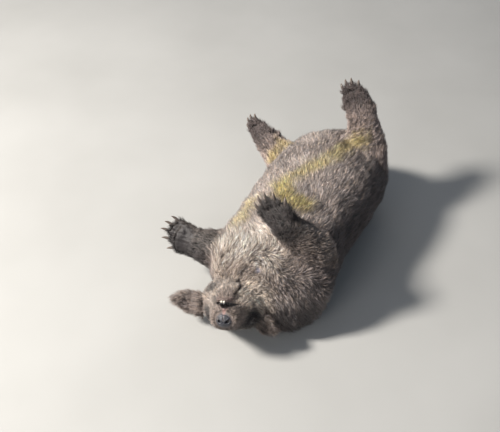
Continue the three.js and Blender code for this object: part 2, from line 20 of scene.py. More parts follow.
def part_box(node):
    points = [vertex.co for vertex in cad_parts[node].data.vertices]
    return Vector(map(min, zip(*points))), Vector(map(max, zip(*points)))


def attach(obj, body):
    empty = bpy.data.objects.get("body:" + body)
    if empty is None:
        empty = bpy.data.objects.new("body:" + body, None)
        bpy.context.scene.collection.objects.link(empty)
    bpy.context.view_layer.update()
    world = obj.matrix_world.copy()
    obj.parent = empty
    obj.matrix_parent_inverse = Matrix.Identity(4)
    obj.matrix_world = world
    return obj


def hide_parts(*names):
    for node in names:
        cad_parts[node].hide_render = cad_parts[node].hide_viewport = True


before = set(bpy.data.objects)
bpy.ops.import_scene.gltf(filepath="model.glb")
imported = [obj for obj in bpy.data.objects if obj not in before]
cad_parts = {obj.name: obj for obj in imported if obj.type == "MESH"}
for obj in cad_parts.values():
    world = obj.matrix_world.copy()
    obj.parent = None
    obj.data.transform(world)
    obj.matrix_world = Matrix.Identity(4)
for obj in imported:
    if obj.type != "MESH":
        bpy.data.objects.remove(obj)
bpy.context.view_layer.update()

log = logging.getLogger("wombat")
Array = np.ndarray
Colour = tuple[float, float, float]
Spot = tuple[float, float, float]
Pixel = tuple[float, float]
Socket = bpy.types.NodeSocket

MM = 0.001
BODY = "root"
IMAGE_WIDTH, IMAGE_HEIGHT = 500, 432
BAKE_MAP = "OFBake"
COLOUR_NAME = "coat_colour"
BARE_NAME = "bare"
SHINE_NAME = "wet"
GRAIN_CELLS = 96  # cells of noise along each axis before they repeat
RIPPLE_WAVES = 7
SIDES = ("right", "left")


# Small helpers


def linear(red: int, green: int, blue: int) -> Colour:
    """Turn display values from 0 to 255 into a linear colour.

    Args:
        red: Share of red.
        green: Share of green.
        blue: Share of blue.

    Returns:
        The linear colour.
    """

    def one(value: int) -> float:
        """Turn one value."""
        share = value / 255
        return share / 12.92 if share <= 0.04045 else ((share + 0.055) / 1.055) ** 2.4

    return one(red), one(green), one(blue)


def smoothstep(low: float, high: float, value: Array) -> Array:
    """Rise smoothly from 0 at low to 1 at high."""
    t = np.clip((value - low) / (high - low), 0.0, 1.0)
    return t * t * (3 - 2 * t)


def bell(value: Array, width: float) -> Array:
    """Fall smoothly from 1 at zero to about a third at one width."""
    return np.exp(-((value / width) ** 2))


def unit(vectors: Array) -> Array:
    """Scale rows to length one."""
    return vectors / np.maximum(np.linalg.norm(vectors, axis=-1, keepdims=True), 1e-12)


def mix(first: Array | Colour, second: Array | Colour, share: Array) -> Array:
    """Blend two sets of rows, or plain colours, by a share for each row."""
    first, second = np.asarray(first), np.asarray(second)
    return first + (second - first) * share[:, None]


def turned(first: Array, second: Array, angle: Array) -> Array:
    """Turn the rows of one set towards those of another by an angle for each row."""
    return first * np.cos(angle)[:, None] + second * np.sin(angle)[:, None]


def flattened(vectors: Array, normals: Array) -> Array:
    """Take out of each row what points along its normal."""
    return vectors - (vectors * normals).sum(axis=1)[:, None] * normals


def ripple(points: Array, size: float, seed: int) -> Array:
    """Give smooth noise, mostly from -1 to 1, at the scale of a size.

    Args:
        points: Places, one row each, in metres.
        size: Length of one wave, in metres.
        seed: Picks the waves.

    Returns:
        One value for each place.
    """
    rng = np.random.default_rng(seed)
    total = np.zeros(len(points))
    for _ in range(RIPPLE_WAVES):
        direction = rng.normal(size=3)
        direction /= np.linalg.norm(direction)
        turns = 2 * math.pi / (size * rng.uniform(0.65, 1.5))
        total += np.sin(points @ direction * turns + rng.uniform(0, 2 * math.pi))
    return total / math.sqrt(RIPPLE_WAVES / 2)


def grain(points: Array, size: float, seed: int) -> Array:
    """Give an unlike value from -1 to 1 in each small cell of space.

    Args:
        points: Places, one row each, in metres.
        size: Width of a cell, in metres.
        seed: Picks the values.

    Returns:
        One value for each place.
    """
    table = np.random.default_rng(seed).uniform(-1, 1, (GRAIN_CELLS,) * 3)
    cell = np.floor(points / size).astype(int) % GRAIN_CELLS
    return table[cell[:, 0], cell[:, 1], cell[:, 2]]


def along_line(points: Array, line: Array) -> Array:
    """Measure the distance from each point to a line through several places.

    Args:
        points: Places, one row each.
        line: The line's corners in order.

    Returns:
        One distance for each point.
    """
    best = np.full(len(points), np.inf)
    for start, end in zip(line[:-1], line[1:]):
        way = end - start
        share = np.clip((points - start) @ way / max(way @ way, 1e-12), 0, 1)
        gap = np.linalg.norm(points - start - share[:, None] * way, axis=1)
        best = np.minimum(best, gap)
    return best


def away_mm(points: Array, spot: Array) -> Array:
    """Measure the distance from each point to one place, in millimetres."""
    return np.linalg.norm(points - spot, axis=1) / MM


def box_centre(node: str) -> Array:
    """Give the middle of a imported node's box."""
    low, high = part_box(node)
    return np.array((low + high) / 2)


def mesh_arrays(mesh: bpy.types.Mesh) -> tuple[Array, Array]:
    """Give the vertex places and loop triangles of a mesh.

    Args:
        mesh: The mesh.

    Returns:
        Places, and three vertex numbers to a triangle.
    """
    mesh.calc_loop_triangles()
    places = np.empty(len(mesh.vertices) * 3)
    mesh.vertices.foreach_get("co", places)
    faces = np.empty(len(mesh.loop_triangles) * 3, np.int32)
    mesh.loop_triangles.foreach_get("vertices", faces)
    return places.reshape(-1, 3), faces.reshape(-1, 3)


def node_arrays(node: str) -> tuple[Array, Array]:
    """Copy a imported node's surface with its doubled vertices merged.

    Args:
        node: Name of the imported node.

    Returns:
        Vertex places and triangles.
    """
    places, faces = mesh_arrays(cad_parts[node].data)
    keys = np.round(places * 1e6).astype(np.int64)
    _, first, index = np.unique(keys, axis=0, return_index=True, return_inverse=True)
    triangles = index.reshape(-1)[faces]
    a, b, c = triangles.T
    return places[first], triangles[(a != b) & (b != c) & (c != a)]


def vertex_normals(places: Array, triangles: Array) -> Array:
    """Give area-weighted unit normals at the vertices of a triangle surface.

    Args:
        places: Vertex places.
        triangles: Vertex numbers, three to a row.

    Returns:
        One unit vector for each vertex.
    """
    a, b, c = (places[triangles[:, k]] for k in range(3))
    face = np.cross(b - a, c - a)
    total = np.zeros_like(places)
    for corner in range(3):
        for axis in range(3):
            total[:, axis] += np.bincount(triangles[:, corner], face[:, axis], len(places))
    return unit(total)


def joined(parts: list[tuple[Array, Array]]) -> tuple[Array, Array]:
    """Put several surfaces into one.

    Args:
        parts: Places and faces of each surface.

    Returns:
        All places, and all faces with their numbers moved on.
    """
    starts = np.cumsum([0] + [len(places) for places, _ in parts[:-1]])
    faces = [part + start for (_, part), start in zip(parts, starts)]
    return np.concatenate([places for places, _ in parts]), np.concatenate(faces)


def ball(polars: list[float], sides: int) -> tuple[Array, Array]:
    """Make a closed ball of radius one.

    Args:
        polars: Angle of each ring from the upper pole.
        sides: Points on each ring.

    Returns:
        Places and triangles.
    """
    places = [(0.0, 0.0, 1.0)]
    for polar in polars:
        for k in range(sides):
            turn = 2 * math.pi * k / sides
            across = (math.sin(polar) * math.cos(turn), math.sin(polar) * math.sin(turn))
            places.append((*across, math.cos(polar)))
    places.append((0.0, 0.0, -1.0))
    faces, last = [], len(places) - 1
    for k in range(sides):
        nxt = (k + 1) % sides
        faces += [[0, 1 + k, 1 + nxt], [last, last - sides + nxt, last - sides + k]]
        for ring in range(len(polars) - 1):
            a, b = 1 + ring * sides + k, 1 + ring * sides + nxt
            faces += [[a, a + sides, b + sides], [a, b + sides, b]]
    return np.array(places), np.array(faces)


def surface_tree(places: Array, triangles: Array) -> BVHTree:
    """Prepare a surface for rays and for its nearest places."""
    return BVHTree.FromPolygons(places.tolist(), triangles.tolist())


def linked(name: str, data: bpy.types.ID) -> bpy.types.Object:
    """Make an object of some data and link it to the scene."""
    thing = bpy.data.objects.new(name, data)
    bpy.context.scene.collection.objects.link(thing)
    return thing


def make_mesh(name: str, places: Array, triangles: Array) -> bpy.types.Object:
    """Make a smooth mesh object of triangles from arrays.

    Args:
        name: Name of the object and its mesh.
        places: Vertex places.
        triangles: Vertex numbers, three to a row.

    Returns:
        The new object, linked to the scene.
    """
    mesh = bpy.data.meshes.new(name)
    mesh.vertices.add(len(places))
    mesh.vertices.foreach_set("co", np.ascontiguousarray(places, np.float32).ravel())
    mesh.loops.add(len(triangles) * 3)
    corners = np.ascontiguousarray(triangles, np.int32).ravel()
    mesh.loops.foreach_set("vertex_index", corners)
    mesh.polygons.add(len(triangles))
    starts = np.arange(0, len(triangles) * 3, 3, dtype=np.int32)
    mesh.polygons.foreach_set("loop_start", starts)
    mesh.polygons.foreach_set("use_smooth", np.ones(len(triangles), bool))
    mesh.update(calc_edges=True)
    return linked(name, mesh)


def settled(thing: bpy.types.Object) -> bpy.types.Object:
    """Turn an object with live modifiers into a plain mesh object of the same name.

    Args:
        thing: The object.

    Returns:
        The same object with its final mesh.
    """
    depsgraph = bpy.context.evaluated_depsgraph_get()
    mesh = bpy.data.meshes.new_from_object(thing.evaluated_get(depsgraph))
    name, old = thing.name, thing.data
    thing.modifiers.clear()
    thing.data = mesh
    bpy.data.meshes.remove(old)
    mesh.name = name
    return thing


def remeshed(thing: bpy.types.Object, voxel: float) -> bpy.types.Object:
    """Rebuild an object's surface evenly on a grid of small cubes."""
    remesh = thing.modifiers.new("even", "REMESH")
    remesh.mode, remesh.voxel_size, remesh.use_smooth_shade = "VOXEL", voxel, True
    return settled(thing)


def moved(thing: bpy.types.Object, places: Array) -> None:
    """Move an object's vertices to new places."""
    thing.data.vertices.foreach_set("co", places.astype(np.float32).ravel())
    thing.data.update()


def set_points(thing: bpy.types.Object, name: str, values: Array) -> None:
    """Store a value or a colour for each vertex of an object.

    Args:
        thing: The mesh object.
        name: Name of the attribute.
        values: One number to a vertex, or three for a colour.
    """
    if values.ndim == 1:
        layer = thing.data.attributes.new(name, "FLOAT", "POINT")
        layer.data.foreach_set("value", values.astype(np.float32))
        return
    layer = thing.data.attributes.new(name, "FLOAT_COLOR", "POINT")
    full = np.ones((len(values), 4), np.float32)
    full[:, :3] = values
    layer.data.foreach_set("color", full.ravel())


def worn(thing: bpy.types.Object, material: bpy.types.Material) -> bpy.types.Object:
    """Give a piece its material, and let it ride on the body."""
    thing.data.materials.clear()
    thing.data.materials.append(material)
    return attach(thing, BODY)


@dataclass
class Neighbours:
    """Averages values over the neighbouring vertices of a mesh."""

    mesh: bpy.types.Mesh
    source: Array = field(init=False)
    target: Array = field(init=False)
    count: Array = field(init=False)

    def __post_init__(self) -> None:
        """Read the edges once."""
        ends = np.empty(len(self.mesh.edges) * 2, np.int32)
        self.mesh.edges.foreach_get("vertices", ends)
        first, second = ends[0::2], ends[1::2]
        self.source = np.concatenate([first, second])
        self.target = np.concatenate([second, first])
        total = np.bincount(self.target, minlength=len(self.mesh.vertices))
        self.count = np.maximum(total, 1)

    def mean(self, values: Array) -> Array:
        """Give each vertex the mean of its neighbours' values.

        Args:
            values: Numbers or rows, one to a vertex.

        Returns:
            As many numbers or rows.
        """
        size = len(self.count)
        if values.ndim == 1:
            return np.bincount(self.target, values[self.source], size) / self.count
        columns = [self.mean(values[:, k]) for k in range(values.shape[1])]
        return np.stack(columns, axis=1)

    def blurred(self, values: Array, rounds: int) -> Array:
        """Average over and over."""
        for _ in range(rounds):
            values = 0.5 * values + 0.5 * self.mean(values)
        return values

    def faired(self, places: Array, rounds: int, shrink: float = 0.5, grow: float = 0.53) -> Array:
        """Smooth a surface while it keeps its volume.

        Args:
            places: Vertex places.
            rounds: How often both steps are taken.
            shrink: Share of the step towards the neighbours.
            grow: Share of the step back.

        Returns:
            The smoothed places.
        """
        for _ in range(rounds):
            places = places + shrink * (self.mean(places) - places)
            places = places - grow * (self.mean(places) - places)
        return places


# Camera, floor and light


@dataclass(frozen=True)
class ViewPoint:
    """Where the photograph was taken from, in the frame of the part."""

    azimuth_deg: float = 28.0
    elevation_deg: float = 43.0
    distance: float = 2.0
    target: Spot = (-0.0799, -0.0151, 0.100)
    focal_px: float = 695.0
    sensor_mm: float = 36.0
    clip_end: float = 60.0

    def back(self) -> Vector:
        """Give the direction from the target to the camera."""
        turn, rise = math.radians(self.azimuth_deg), math.radians(self.elevation_deg)
        level = math.cos(rise)
        return Vector((math.sin(turn) * level, -math.cos(turn) * level, math.sin(rise)))

    def place(self) -> Vector:
        """Give the camera's place."""
        return Vector(self.target) + self.back() * self.distance

    def towards(self, across: float, down: float) -> Vector:
        """Give the direction of sight through a place in the image.

        Args:
            across: Pixels from the image's left edge.
            down: Pixels from its top edge.

        Returns:
            A unit vector.
        """
        turn = math.radians(self.azimuth_deg)
        right = Vector((math.cos(turn), math.sin(turn), 0))
        up = self.back().cross(right)
        sight = right * (across - IMAGE_WIDTH / 2) - up * (down - IMAGE_HEIGHT / 2)
        return (sight - self.back() * self.focal_px).normalized()

    def build(self) -> None:
        """Make the camera."""
        data = bpy.data.cameras.new("view")
        data.sensor_width = self.sensor_mm
        data.lens = self.focal_px / IMAGE_WIDTH * self.sensor_mm
        data.clip_end = self.clip_end
        camera = linked("view", data)
        camera.location = self.place()
        camera.rotation_mode = "QUATERNION"
        camera.rotation_quaternion = (-self.back()).to_track_quat("-Z", "Y")
        bpy.context.scene.camera = camera


@dataclass(frozen=True)
class Lamp:
    """A square soft light that faces the animal."""

    name: str
    place: Spot
    watts: float
    size: float
    tint: Colour
    aim: Spot = (0.0, -0.05, 0.12)

    def build(self) -> None:
        """Make the light."""
        data = bpy.data.lights.new(self.name, "AREA")
        data.energy, data.size, data.color = self.watts, self.size, self.tint
        lamp = linked(self.name, data)
        lamp.location = self.place
        lamp.rotation_mode = "QUATERNION"
        way = Vector(self.aim) - Vector(self.place)
        lamp.rotation_quaternion = way.to_track_quat("-Z", "Y")


WARM, COOL, PLAIN = (1.0, 0.955, 0.89), (0.86, 0.93, 1.0), (1.0, 0.98, 0.95)


@dataclass(frozen=True)
class Studio:
    """A pale floor and soft light, with the key from the left of the camera."""

    lamps: tuple[Lamp, ...] = (
        Lamp("key_light", (-2.5, -1.9, 3.05), 385.0, 0.7, WARM),
        Lamp("fill_light", (2.6, -2.6, 2.2), 6.0, 3.0, COOL),
        Lamp("rim_light", (-1.2, 2.9, 2.2), 14.0, 2.0, PLAIN),
        Lamp("front_light", (0.1, -1.8, 1.1), 8.0, 0.7, PLAIN),
    )
    sky: float = 0.22
    sky_tint: Colour = (0.72, 0.83, 1.0)
    floor_half: float = 9.0
    floor_cells: int = 40
    floor_rim: float = 0.6  # how far the floor rises towards its corners
    floor_sink: float = 0.0002
    floor_dark: Colour = (0.37, 0.366, 0.353)
    floor_pale: Colour = (0.41, 0.406, 0.393)

    def floor(self) -> None:
        """Make the floor, rounded up a little at its rim so that it has a real form."""
        wide = self.floor_cells + 1
        steps = np.linspace(-self.floor_half, self.floor_half, wide)
        grid_x, grid_y = np.meshgrid(steps, steps, indexing="ij")
        radius = np.hypot(grid_x, grid_y) / self.floor_half
        rise = self.floor_rim * smoothstep(0.75, 1.4, radius) - self.floor_sink
        places = np.stack([grid_x.ravel(), grid_y.ravel(), rise.ravel()], axis=1)
        cells = np.arange(self.floor_cells)
        a = (cells[:, None] * wide + cells[None, :]).ravel()
        b, c, d = a + wide, a + wide + 1, a + 1
        faces = np.concatenate([np.stack([a, b, c], 1), np.stack([a, c, d], 1)])
        thing = make_mesh("floor", places, faces)
        tree = NodeTree("studio_floor")
        cloud = tree.noise(2.2, 3.0, 0.5)
        tree.shade("Base Color", tree.ramp(cloud, (0.3, self.floor_dark), (0.7, self.floor_pale)))
        tree.shade("Roughness", 0.85)
        thing.data.materials.append(tree.material)

    def build(self) -> None:
        """Make the floor, the lights and the sky."""
        self.floor()
        for lamp in self.lamps:
            lamp.build()
        world = bpy.data.worlds.new("sky")
        world.use_nodes = True
        background = world.node_tree.nodes["Background"]
        background.inputs["Color"].default_value = (*self.sky_tint, 1.0)
        background.inputs["Strength"].default_value = self.sky
        bpy.context.scene.world = world
        bpy.context.scene.view_settings.view_transform = "Standard"


# Finishes


def feed(tree: bpy.types.NodeTree, target: Socket, value: object) -> None:
    """Give an input a value, or join an output to it.

    Args:
        tree: The node tree that the input is in.
        target: The input.
        value: An output, a number, a name, a material or a vector.
    """
    if isinstance(value, Socket):
        tree.links.new(value, target)
    else:
        target.default_value = value


def add_node(
    tree: bpy.types.NodeTree, kind: str, inputs: dict, **settings: str
) -> bpy.types.Node:
    """Add a node, set its properties and feed its inputs.

    Args:
        tree: The node tree it goes into.
        kind: Blender's name for the node.
        inputs: A value or an output for each input's name or number.
        settings: The node's own properties.

    Returns:
        The node.
    """
    made = tree.nodes.new(kind)
    for key, value in settings.items():
        setattr(made, key, value)
    for key, value in inputs.items():
        feed(tree, made.inputs[key], value)
    return made


class NodeTree:
    """A material in the making: its shader and the nodes that feed it."""

    def __init__(self, name: str) -> None:
        """Start a material with a plain shader.

        Args:
            name: Name of the material.
        """
        self.material = bpy.data.materials.new(name)
        self.material.use_nodes = True
        self.tree = self.material.node_tree
        self.shader = self.tree.nodes["Principled BSDF"]
        self.place = self.tree.nodes.new("ShaderNodeTexCoord").outputs["Object"]

    def node(self, kind: str, inputs: dict, **settings: str) -> bpy.types.Node:
        """Add a node to the material, with its properties and inputs."""
        return add_node(self.tree, kind, inputs, **settings)

    def noise(self, scale: float, detail: float, rough: float, squeeze: Spot = (1, 1, 1)) -> Socket:
        """Add noise over the object's own coordinates.

        Args:
            scale: Waves to the metre.
            detail: Layers of finer noise.
            rough: How strong those layers are.
            squeeze: Extra scale along each axis.

        Returns:
            The noise value.
        """
        mapping = self.node("ShaderNodeMapping", {"Scale": squeeze, "Vector": self.place})
        sizes = {"Scale": scale, "Detail": detail, "Roughness": rough}
        made = self.node("ShaderNodeTexNoise", sizes | {"Vector": mapping.outputs["Vector"]})
        return made.outputs["Fac"]

    def cells(self, scale: float, feature: str = "F1") -> Socket:
        """Add a cell pattern and give its distance."""
        inputs = {"Scale": scale, "Vector": self.place}
        return self.node("ShaderNodeTexVoronoi", inputs, feature=feature).outputs["Distance"]

    def attribute(self, name: str, output: str = "Fac") -> Socket:
        """Read a stored value of the mesh."""
        return self.node("ShaderNodeAttribute", {}, attribute_name=name).outputs[output]

    def ramp(self, value: Socket, *stops: tuple[float, Colour]) -> Socket:
        """Turn a value into a colour.

        Args:
            value: The value, from 0 to 1.
            stops: Places along the value with their colours.

        Returns:
            The colour.
        """
        made = self.node("ShaderNodeValToRGB", {"Fac": value})
        elements = made.color_ramp.elements
        while len(elements) < len(stops):
            elements.new(0.5)
        for element, (spot, colour) in zip(elements, stops):
            element.position = spot
            element.color = (*colour, 1.0)
        return made.outputs["Color"]

    def spread(self, value: Socket, low: float, high: float) -> Socket:
        """Stretch a value from 0..1 to low..high."""
        inputs = {"To Min": low, "To Max": high, "Value": value}
        return self.node("ShaderNodeMapRange", inputs).outputs["Result"]

    def tinted(self, first: Socket, second: Socket) -> Socket:
        """Multiply two colours."""
        inputs = {0: 1.0, 6: first, 7: second}
        made = self.node("ShaderNodeMix", inputs, data_type="RGBA", blend_type="MULTIPLY")
        return made.outputs[2]

    def painted(self, first: Socket, paint: Colour, share: Socket) -> Socket:
        """Cover a colour with a plain one by a share."""
        inputs = {0: share, 6: first, 7: (*paint, 1.0)}
        return self.node("ShaderNodeMix", inputs, data_type="RGBA", blend_type="MIX").outputs[2]

    def between(self, first: Socket, second: Socket, share: Socket) -> Socket:
        """Blend two values by a share."""
        inputs = {0: share, 2: first, 3: second}
        return self.node("ShaderNodeMix", inputs, data_type="FLOAT").outputs[0]

    def sum(self, first: Socket, second: Socket | float, kind: str = "ADD") -> Socket:
        """Combine a value with another value or a number."""
        return self.node("ShaderNodeMath", {0: first, 1: second}, operation=kind).outputs[0]

    def shade(self, name: str, value: Socket | float) -> None:
        """Feed one of the shader's inputs."""
        feed(self.tree, self.shader.inputs[name], value)

    def bump(self, height: Socket, strength: float, depth: float) -> None:
        """Raise the surface by a value.

        Args:
            height: The value.
            strength: How much of the relief shows.
            depth: Height of the relief, in metres.
        """
        inputs = {"Strength": strength, "Distance": depth, "Height": height}
        self.shade("Normal", self.node("ShaderNodeBump", inputs).outputs["Normal"])


WHITE = (1.0, 1.0, 1.0)


@dataclass(frozen=True)
class Finish:
    """The finish of one kind of surface."""

    name: str = "plain"

    def dress(self, tree: NodeTree) -> None:
        """Feed the shader, in each finish's own way."""

    def material(self) -> bpy.types.Material:
        """Make the material.

        Returns:
            The new material.
        """
        tree = NodeTree(self.name)
        self.dress(tree)
        return tree.material


@dataclass(frozen=True)
class CoatFinish(Finish):
    """Hair of the tufts: coloured strand by strand, a little duller in patches."""

    name: str = "coat_hair"
    roughness: float = 0.62
    sheen: float = 0.18
    dull: Colour = (0.80, 0.80, 0.80)

    def dress(self, tree: NodeTree) -> None:
        """Feed the shader.

        Args:
            tree: The material's nodes.
        """
        hair = tree.attribute(COLOUR_NAME, "Color")
        patch = tree.ramp(tree.noise(38, 4, 0.6), (0.25, self.dull), (0.78, WHITE))
        tree.shade("Base Color", tree.tinted(hair, patch))
        rough = tree.spread(tree.noise(420, 2, 0.5), self.roughness - 0.1, self.roughness + 0.12)
        tree.shade("Roughness", rough)
        tree.shade("Sheen Weight", self.sheen)
        tree.shade("Sheen Roughness", 0.45)
        tree.shade("Specular IOR Level", 0.35)
        tree.bump(tree.noise(1500, 2, 0.6), 0.35, 0.0004)


@dataclass(frozen=True)
class SkinFinish(Finish):
    """Skin under the coat, with short flat underfur, and bare creased skin where it shows."""

    name: str = "wombat_skin"
    shadow: Colour = (0.62, 0.60, 0.58)

    def dress(self, tree: NodeTree) -> None:
        """Feed the shader.

        Args:
            tree: The material's nodes.
        """
        base = tree.attribute(COLOUR_NAME, "Color")
        bare, wet = tree.attribute(BARE_NAME), tree.attribute(SHINE_NAME)
        down = tree.noise(900, 5, 0.7, (1.0, 0.35, 1.0))
        shade = tree.ramp(down, (0.3, self.shadow), (0.7, WHITE))
        tree.shade("Base Color", tree.tinted(base, shade))
        pebbles, creases = tree.cells(620), tree.cells(170, "DISTANCE_TO_EDGE")
        rough = tree.between(tree.spread(down, 0.7, 0.95), tree.spread(pebbles, 0.42, 0.62), bare)
        gloss = tree.sum(wet, 0.25, "MULTIPLY")
        tree.shade("Roughness", tree.sum(rough, gloss, "SUBTRACT"))
        tree.bump(tree.between(down, tree.sum(pebbles, creases), bare), 0.6, 0.0011)


@dataclass(frozen=True)
class HornFinish(Finish):
    """Worn claw horn: dark at the root, paler and scratched towards the tip."""

    name: str = "claw_horn"
    dark: Colour = linear(52, 44, 42)
    middle: Colour = linear(86, 75, 68)
    pale: Colour = linear(134, 119, 106)

    def dress(self, tree: NodeTree) -> None:
        """Feed the shader.

        Args:
            tree: The material's nodes.
        """
        streak = tree.noise(520, 5, 0.65, (1.0, 1.0, 0.18))
        tip = tree.sum(tree.attribute("towards_tip"), 0.75, "MULTIPLY")
        both = tree.sum(tip, tree.spread(streak, -0.15, 0.4))
        stops = (0.1, self.dark), (0.6, self.middle), (1.0, self.pale)
        tree.shade("Base Color", tree.ramp(both, *stops))
        tree.shade("Roughness", tree.spread(streak, 0.32, 0.6))
        tree.shade("Coat Weight", 0.2)
        tree.bump(streak, 0.5, 0.0004)


@dataclass(frozen=True)
class EnamelFinish(Finish):
    """Ivory enamel, stained towards the gum."""

    name: str = "tooth_enamel"
    stained: Colour = linear(186, 166, 130)
    ivory: Colour = linear(232, 224, 204)
    white: Colour = linear(246, 242, 232)

    def dress(self, tree: NodeTree) -> None:
        """Feed the shader.

        Args:
            tree: The material's nodes.
        """
        stain = tree.noise(260, 4, 0.6)
        stops = (0.2, self.stained), (0.4, self.ivory), (0.8, self.white)
        tree.shade("Base Color", tree.ramp(stain, *stops))
        tree.shade("Roughness", tree.spread(stain, 0.2, 0.4))
        tree.shade("Coat Weight", 0.5)
        tree.bump(tree.noise(900, 3, 0.5, (1.0, 1.0, 0.3)), 0.25, 0.0003)


@dataclass(frozen=True)
class EyeFinish(Finish):
    """A dark brown eye under a wet film: pupil, streaked iris and dim white."""

    name: str = "eye_ball"
    stops: tuple[tuple[float, Colour], ...] = (
        (0.20, linear(6, 5, 6)),
        (0.26, linear(44, 28, 18)),
        (0.50, linear(66, 42, 26)),
        (0.60, linear(20, 14, 12)),
        (0.72, linear(104, 88, 80)),
    )

    def dress(self, tree: NodeTree) -> None:
        """Feed the shader.

        Args:
            tree: The material's nodes.
        """
        fibre = tree.spread(tree.noise(900, 3, 0.6), -0.06, 0.06)
        ring = tree.sum(tree.attribute("from_pupil"), fibre)
        tree.shade("Base Color", tree.ramp(ring, *self.stops))
        tree.shade("Roughness", 0.09)
        tree.shade("Coat Weight", 1.0)
        tree.shade("Coat Roughness", 0.03)
        tree.shade("IOR", 1.38)
        tree.bump(tree.noise(240, 2, 0.4), 0.05, 0.0003)


@dataclass(frozen=True)
class NoseFinish(Finish):
    """Bare nose skin: blue grey, pebbled and slightly moist, with painted shade in the furrows
    between the pebbles.
    """

    name: str = "nose_skin"
    dark: Colour = linear(22, 21, 25)
    middle: Colour = linear(48, 48, 56)
    pale: Colour = linear(94, 96, 108)
    hole: Colour = linear(14, 12, 14)
    painted_furrow_shade: Colour = (0.62, 0.62, 0.64)

    def dress(self, tree: NodeTree) -> None:
        """Feed the shader.

        Args:
            tree: The material's nodes.
        """
        cloud, pebble = tree.noise(120, 5, 0.62), tree.cells(900)
        tones = tree.ramp(cloud, (0.25, self.dark), (0.5, self.middle), (0.78, self.pale))
        # Painted shade: darken the furrows between the pebbles.
        skin = tree.tinted(tones, tree.ramp(pebble, (0.0, WHITE), (0.55, self.painted_furrow_shade)))
        tree.shade("Base Color", tree.painted(skin, self.hole, tree.attribute("nostril")))
        tree.shade("Roughness", tree.spread(cloud, 0.32, 0.58))
        tree.shade("Coat Weight", 0.25)
        tree.shade("Coat Roughness", 0.3)
        tree.bump(tree.sum(pebble, -1.0, "MULTIPLY"), 0.7, 0.0009)


@dataclass(frozen=True)
class WhiskerFinish(Finish):
    """Stiff whisker hair, darker in some strands."""

    name: str = "whisker_hair"
    dark: Colour = linear(34, 28, 26)
    pale: Colour = linear(150, 138, 124)

    def dress(self, tree: NodeTree) -> None:
        """Feed the shader.

        Args:
            tree: The material's nodes.
        """
        tone = tree.noise(60, 2, 0.5)
        tree.shade("Base Color", tree.ramp(tone, (0.35, self.dark), (0.7, self.pale)))
        tree.shade("Roughness", tree.spread(tone, 0.35, 0.55))
        tree.bump(tree.noise(1800, 2, 0.5), 0.2, 0.0002)


# The animal's own frames

LEAN = math.radians(20)  # the body leans onto its left side
OUT_OF_BELLY = np.array([-math.sin(LEAN), 0.0, math.cos(LEAN)])
TO_RIGHT_FLANK = np.array([math.cos(LEAN), 0.0, math.sin(LEAN)])
TO_TAIL = np.array([0.0, 1.0, 0.0])


class Region(Enum):
    """A part of the body with its own coat."""

    TRUNK = 0
    NECK = 1
    HEAD = 2
    EAR = 3
    FORELEG = 4
    HINDLEG = 5
    FOOT = 6
    TAIL = 7


@dataclass(frozen=True)
class RegionCoat:
    """The coat on one region: its piece and record slot, and its sizes in millimetres."""

    piece: str
    slot: str
    depth: float
    length: float
    width: float
    density: float  # tufts to the square centimetre
    lift_deg: float


COATS = {
    Region.TRUNK: RegionCoat("coat_trunk", "body_coat", 10.0, 29.0, 1.75, 22.0, 30.0),
    Region.NECK: RegionCoat("coat_neck", "body_coat", 10.0, 27.0, 1.6, 27.0, 30.0),
    Region.HEAD: RegionCoat("coat_head", "body_coat", 6.5, 19.0, 1.4, 38.0, 30.0),
    Region.EAR: RegionCoat("coat_ears", "ear_coat", 4.0, 21.0, 1.25, 46.0, 40.0),
    Region.FORELEG: RegionCoat("coat_forelegs", "body_coat", 7.5, 21.0, 1.8, 30.0, 30.0),
    Region.HINDLEG: RegionCoat("coat_hindlegs", "body_coat", 7.5, 22.0, 1.9, 28.0, 30.0),
    Region.FOOT: RegionCoat("coat_feet", "foot_coat", 3.2, 17.0, 1.3, 42.0, 30.0),
    Region.TAIL: RegionCoat("coat_tail", "tail_skin", 1.6, 6.0, 0.8, 20.0, 24.0),
}

FORELEG = ("upper_arm", "forearm", "forepaw")
HINDLEG = ("thigh", "shank", "hind_foot")
FOOT_NODES = tuple(f"{kind}_{side}" for kind in ("forepaw", "hind_foot") for side in SIDES)


def claw_nodes(foot: str) -> list[str]:
    """List the claws of a foot, from the inner digit outwards."""
    kind, first = ("fore", 1) if foot.startswith("forepaw") else ("hind", 2)
    side = foot.split("_")[-1]
    return [f"{kind}_claw_{side}_{digit}" for digit in range(first, 6)]


def flesh_regions() -> dict[str, Region]:
    """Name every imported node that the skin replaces, with its region.

    Returns:
        The region of each node by its name.
    """
    found = {name: Region.TRUNK for name in ("chest", "belly", "rump")}
    found |= {"neck": Region.NECK, "head": Region.HEAD, "lower_jaw": Region.HEAD}
    found["tail"] = Region.TAIL
    for side in SIDES:
        found[f"ear_{side}"] = Region.EAR
        found |= {f"{segment}_{side}": Region.FORELEG for segment in FORELEG[:2]}
        found |= {f"{segment}_{side}": Region.HINDLEG for segment in HINDLEG[:2]}
    return found | {name: Region.FOOT for name in FOOT_NODES}


def in_regions(owners: Array, *regions: Region) -> Array:
    """Say which rows belong to one of some regions."""
    return np.isin(owners, [region.value for region in regions])


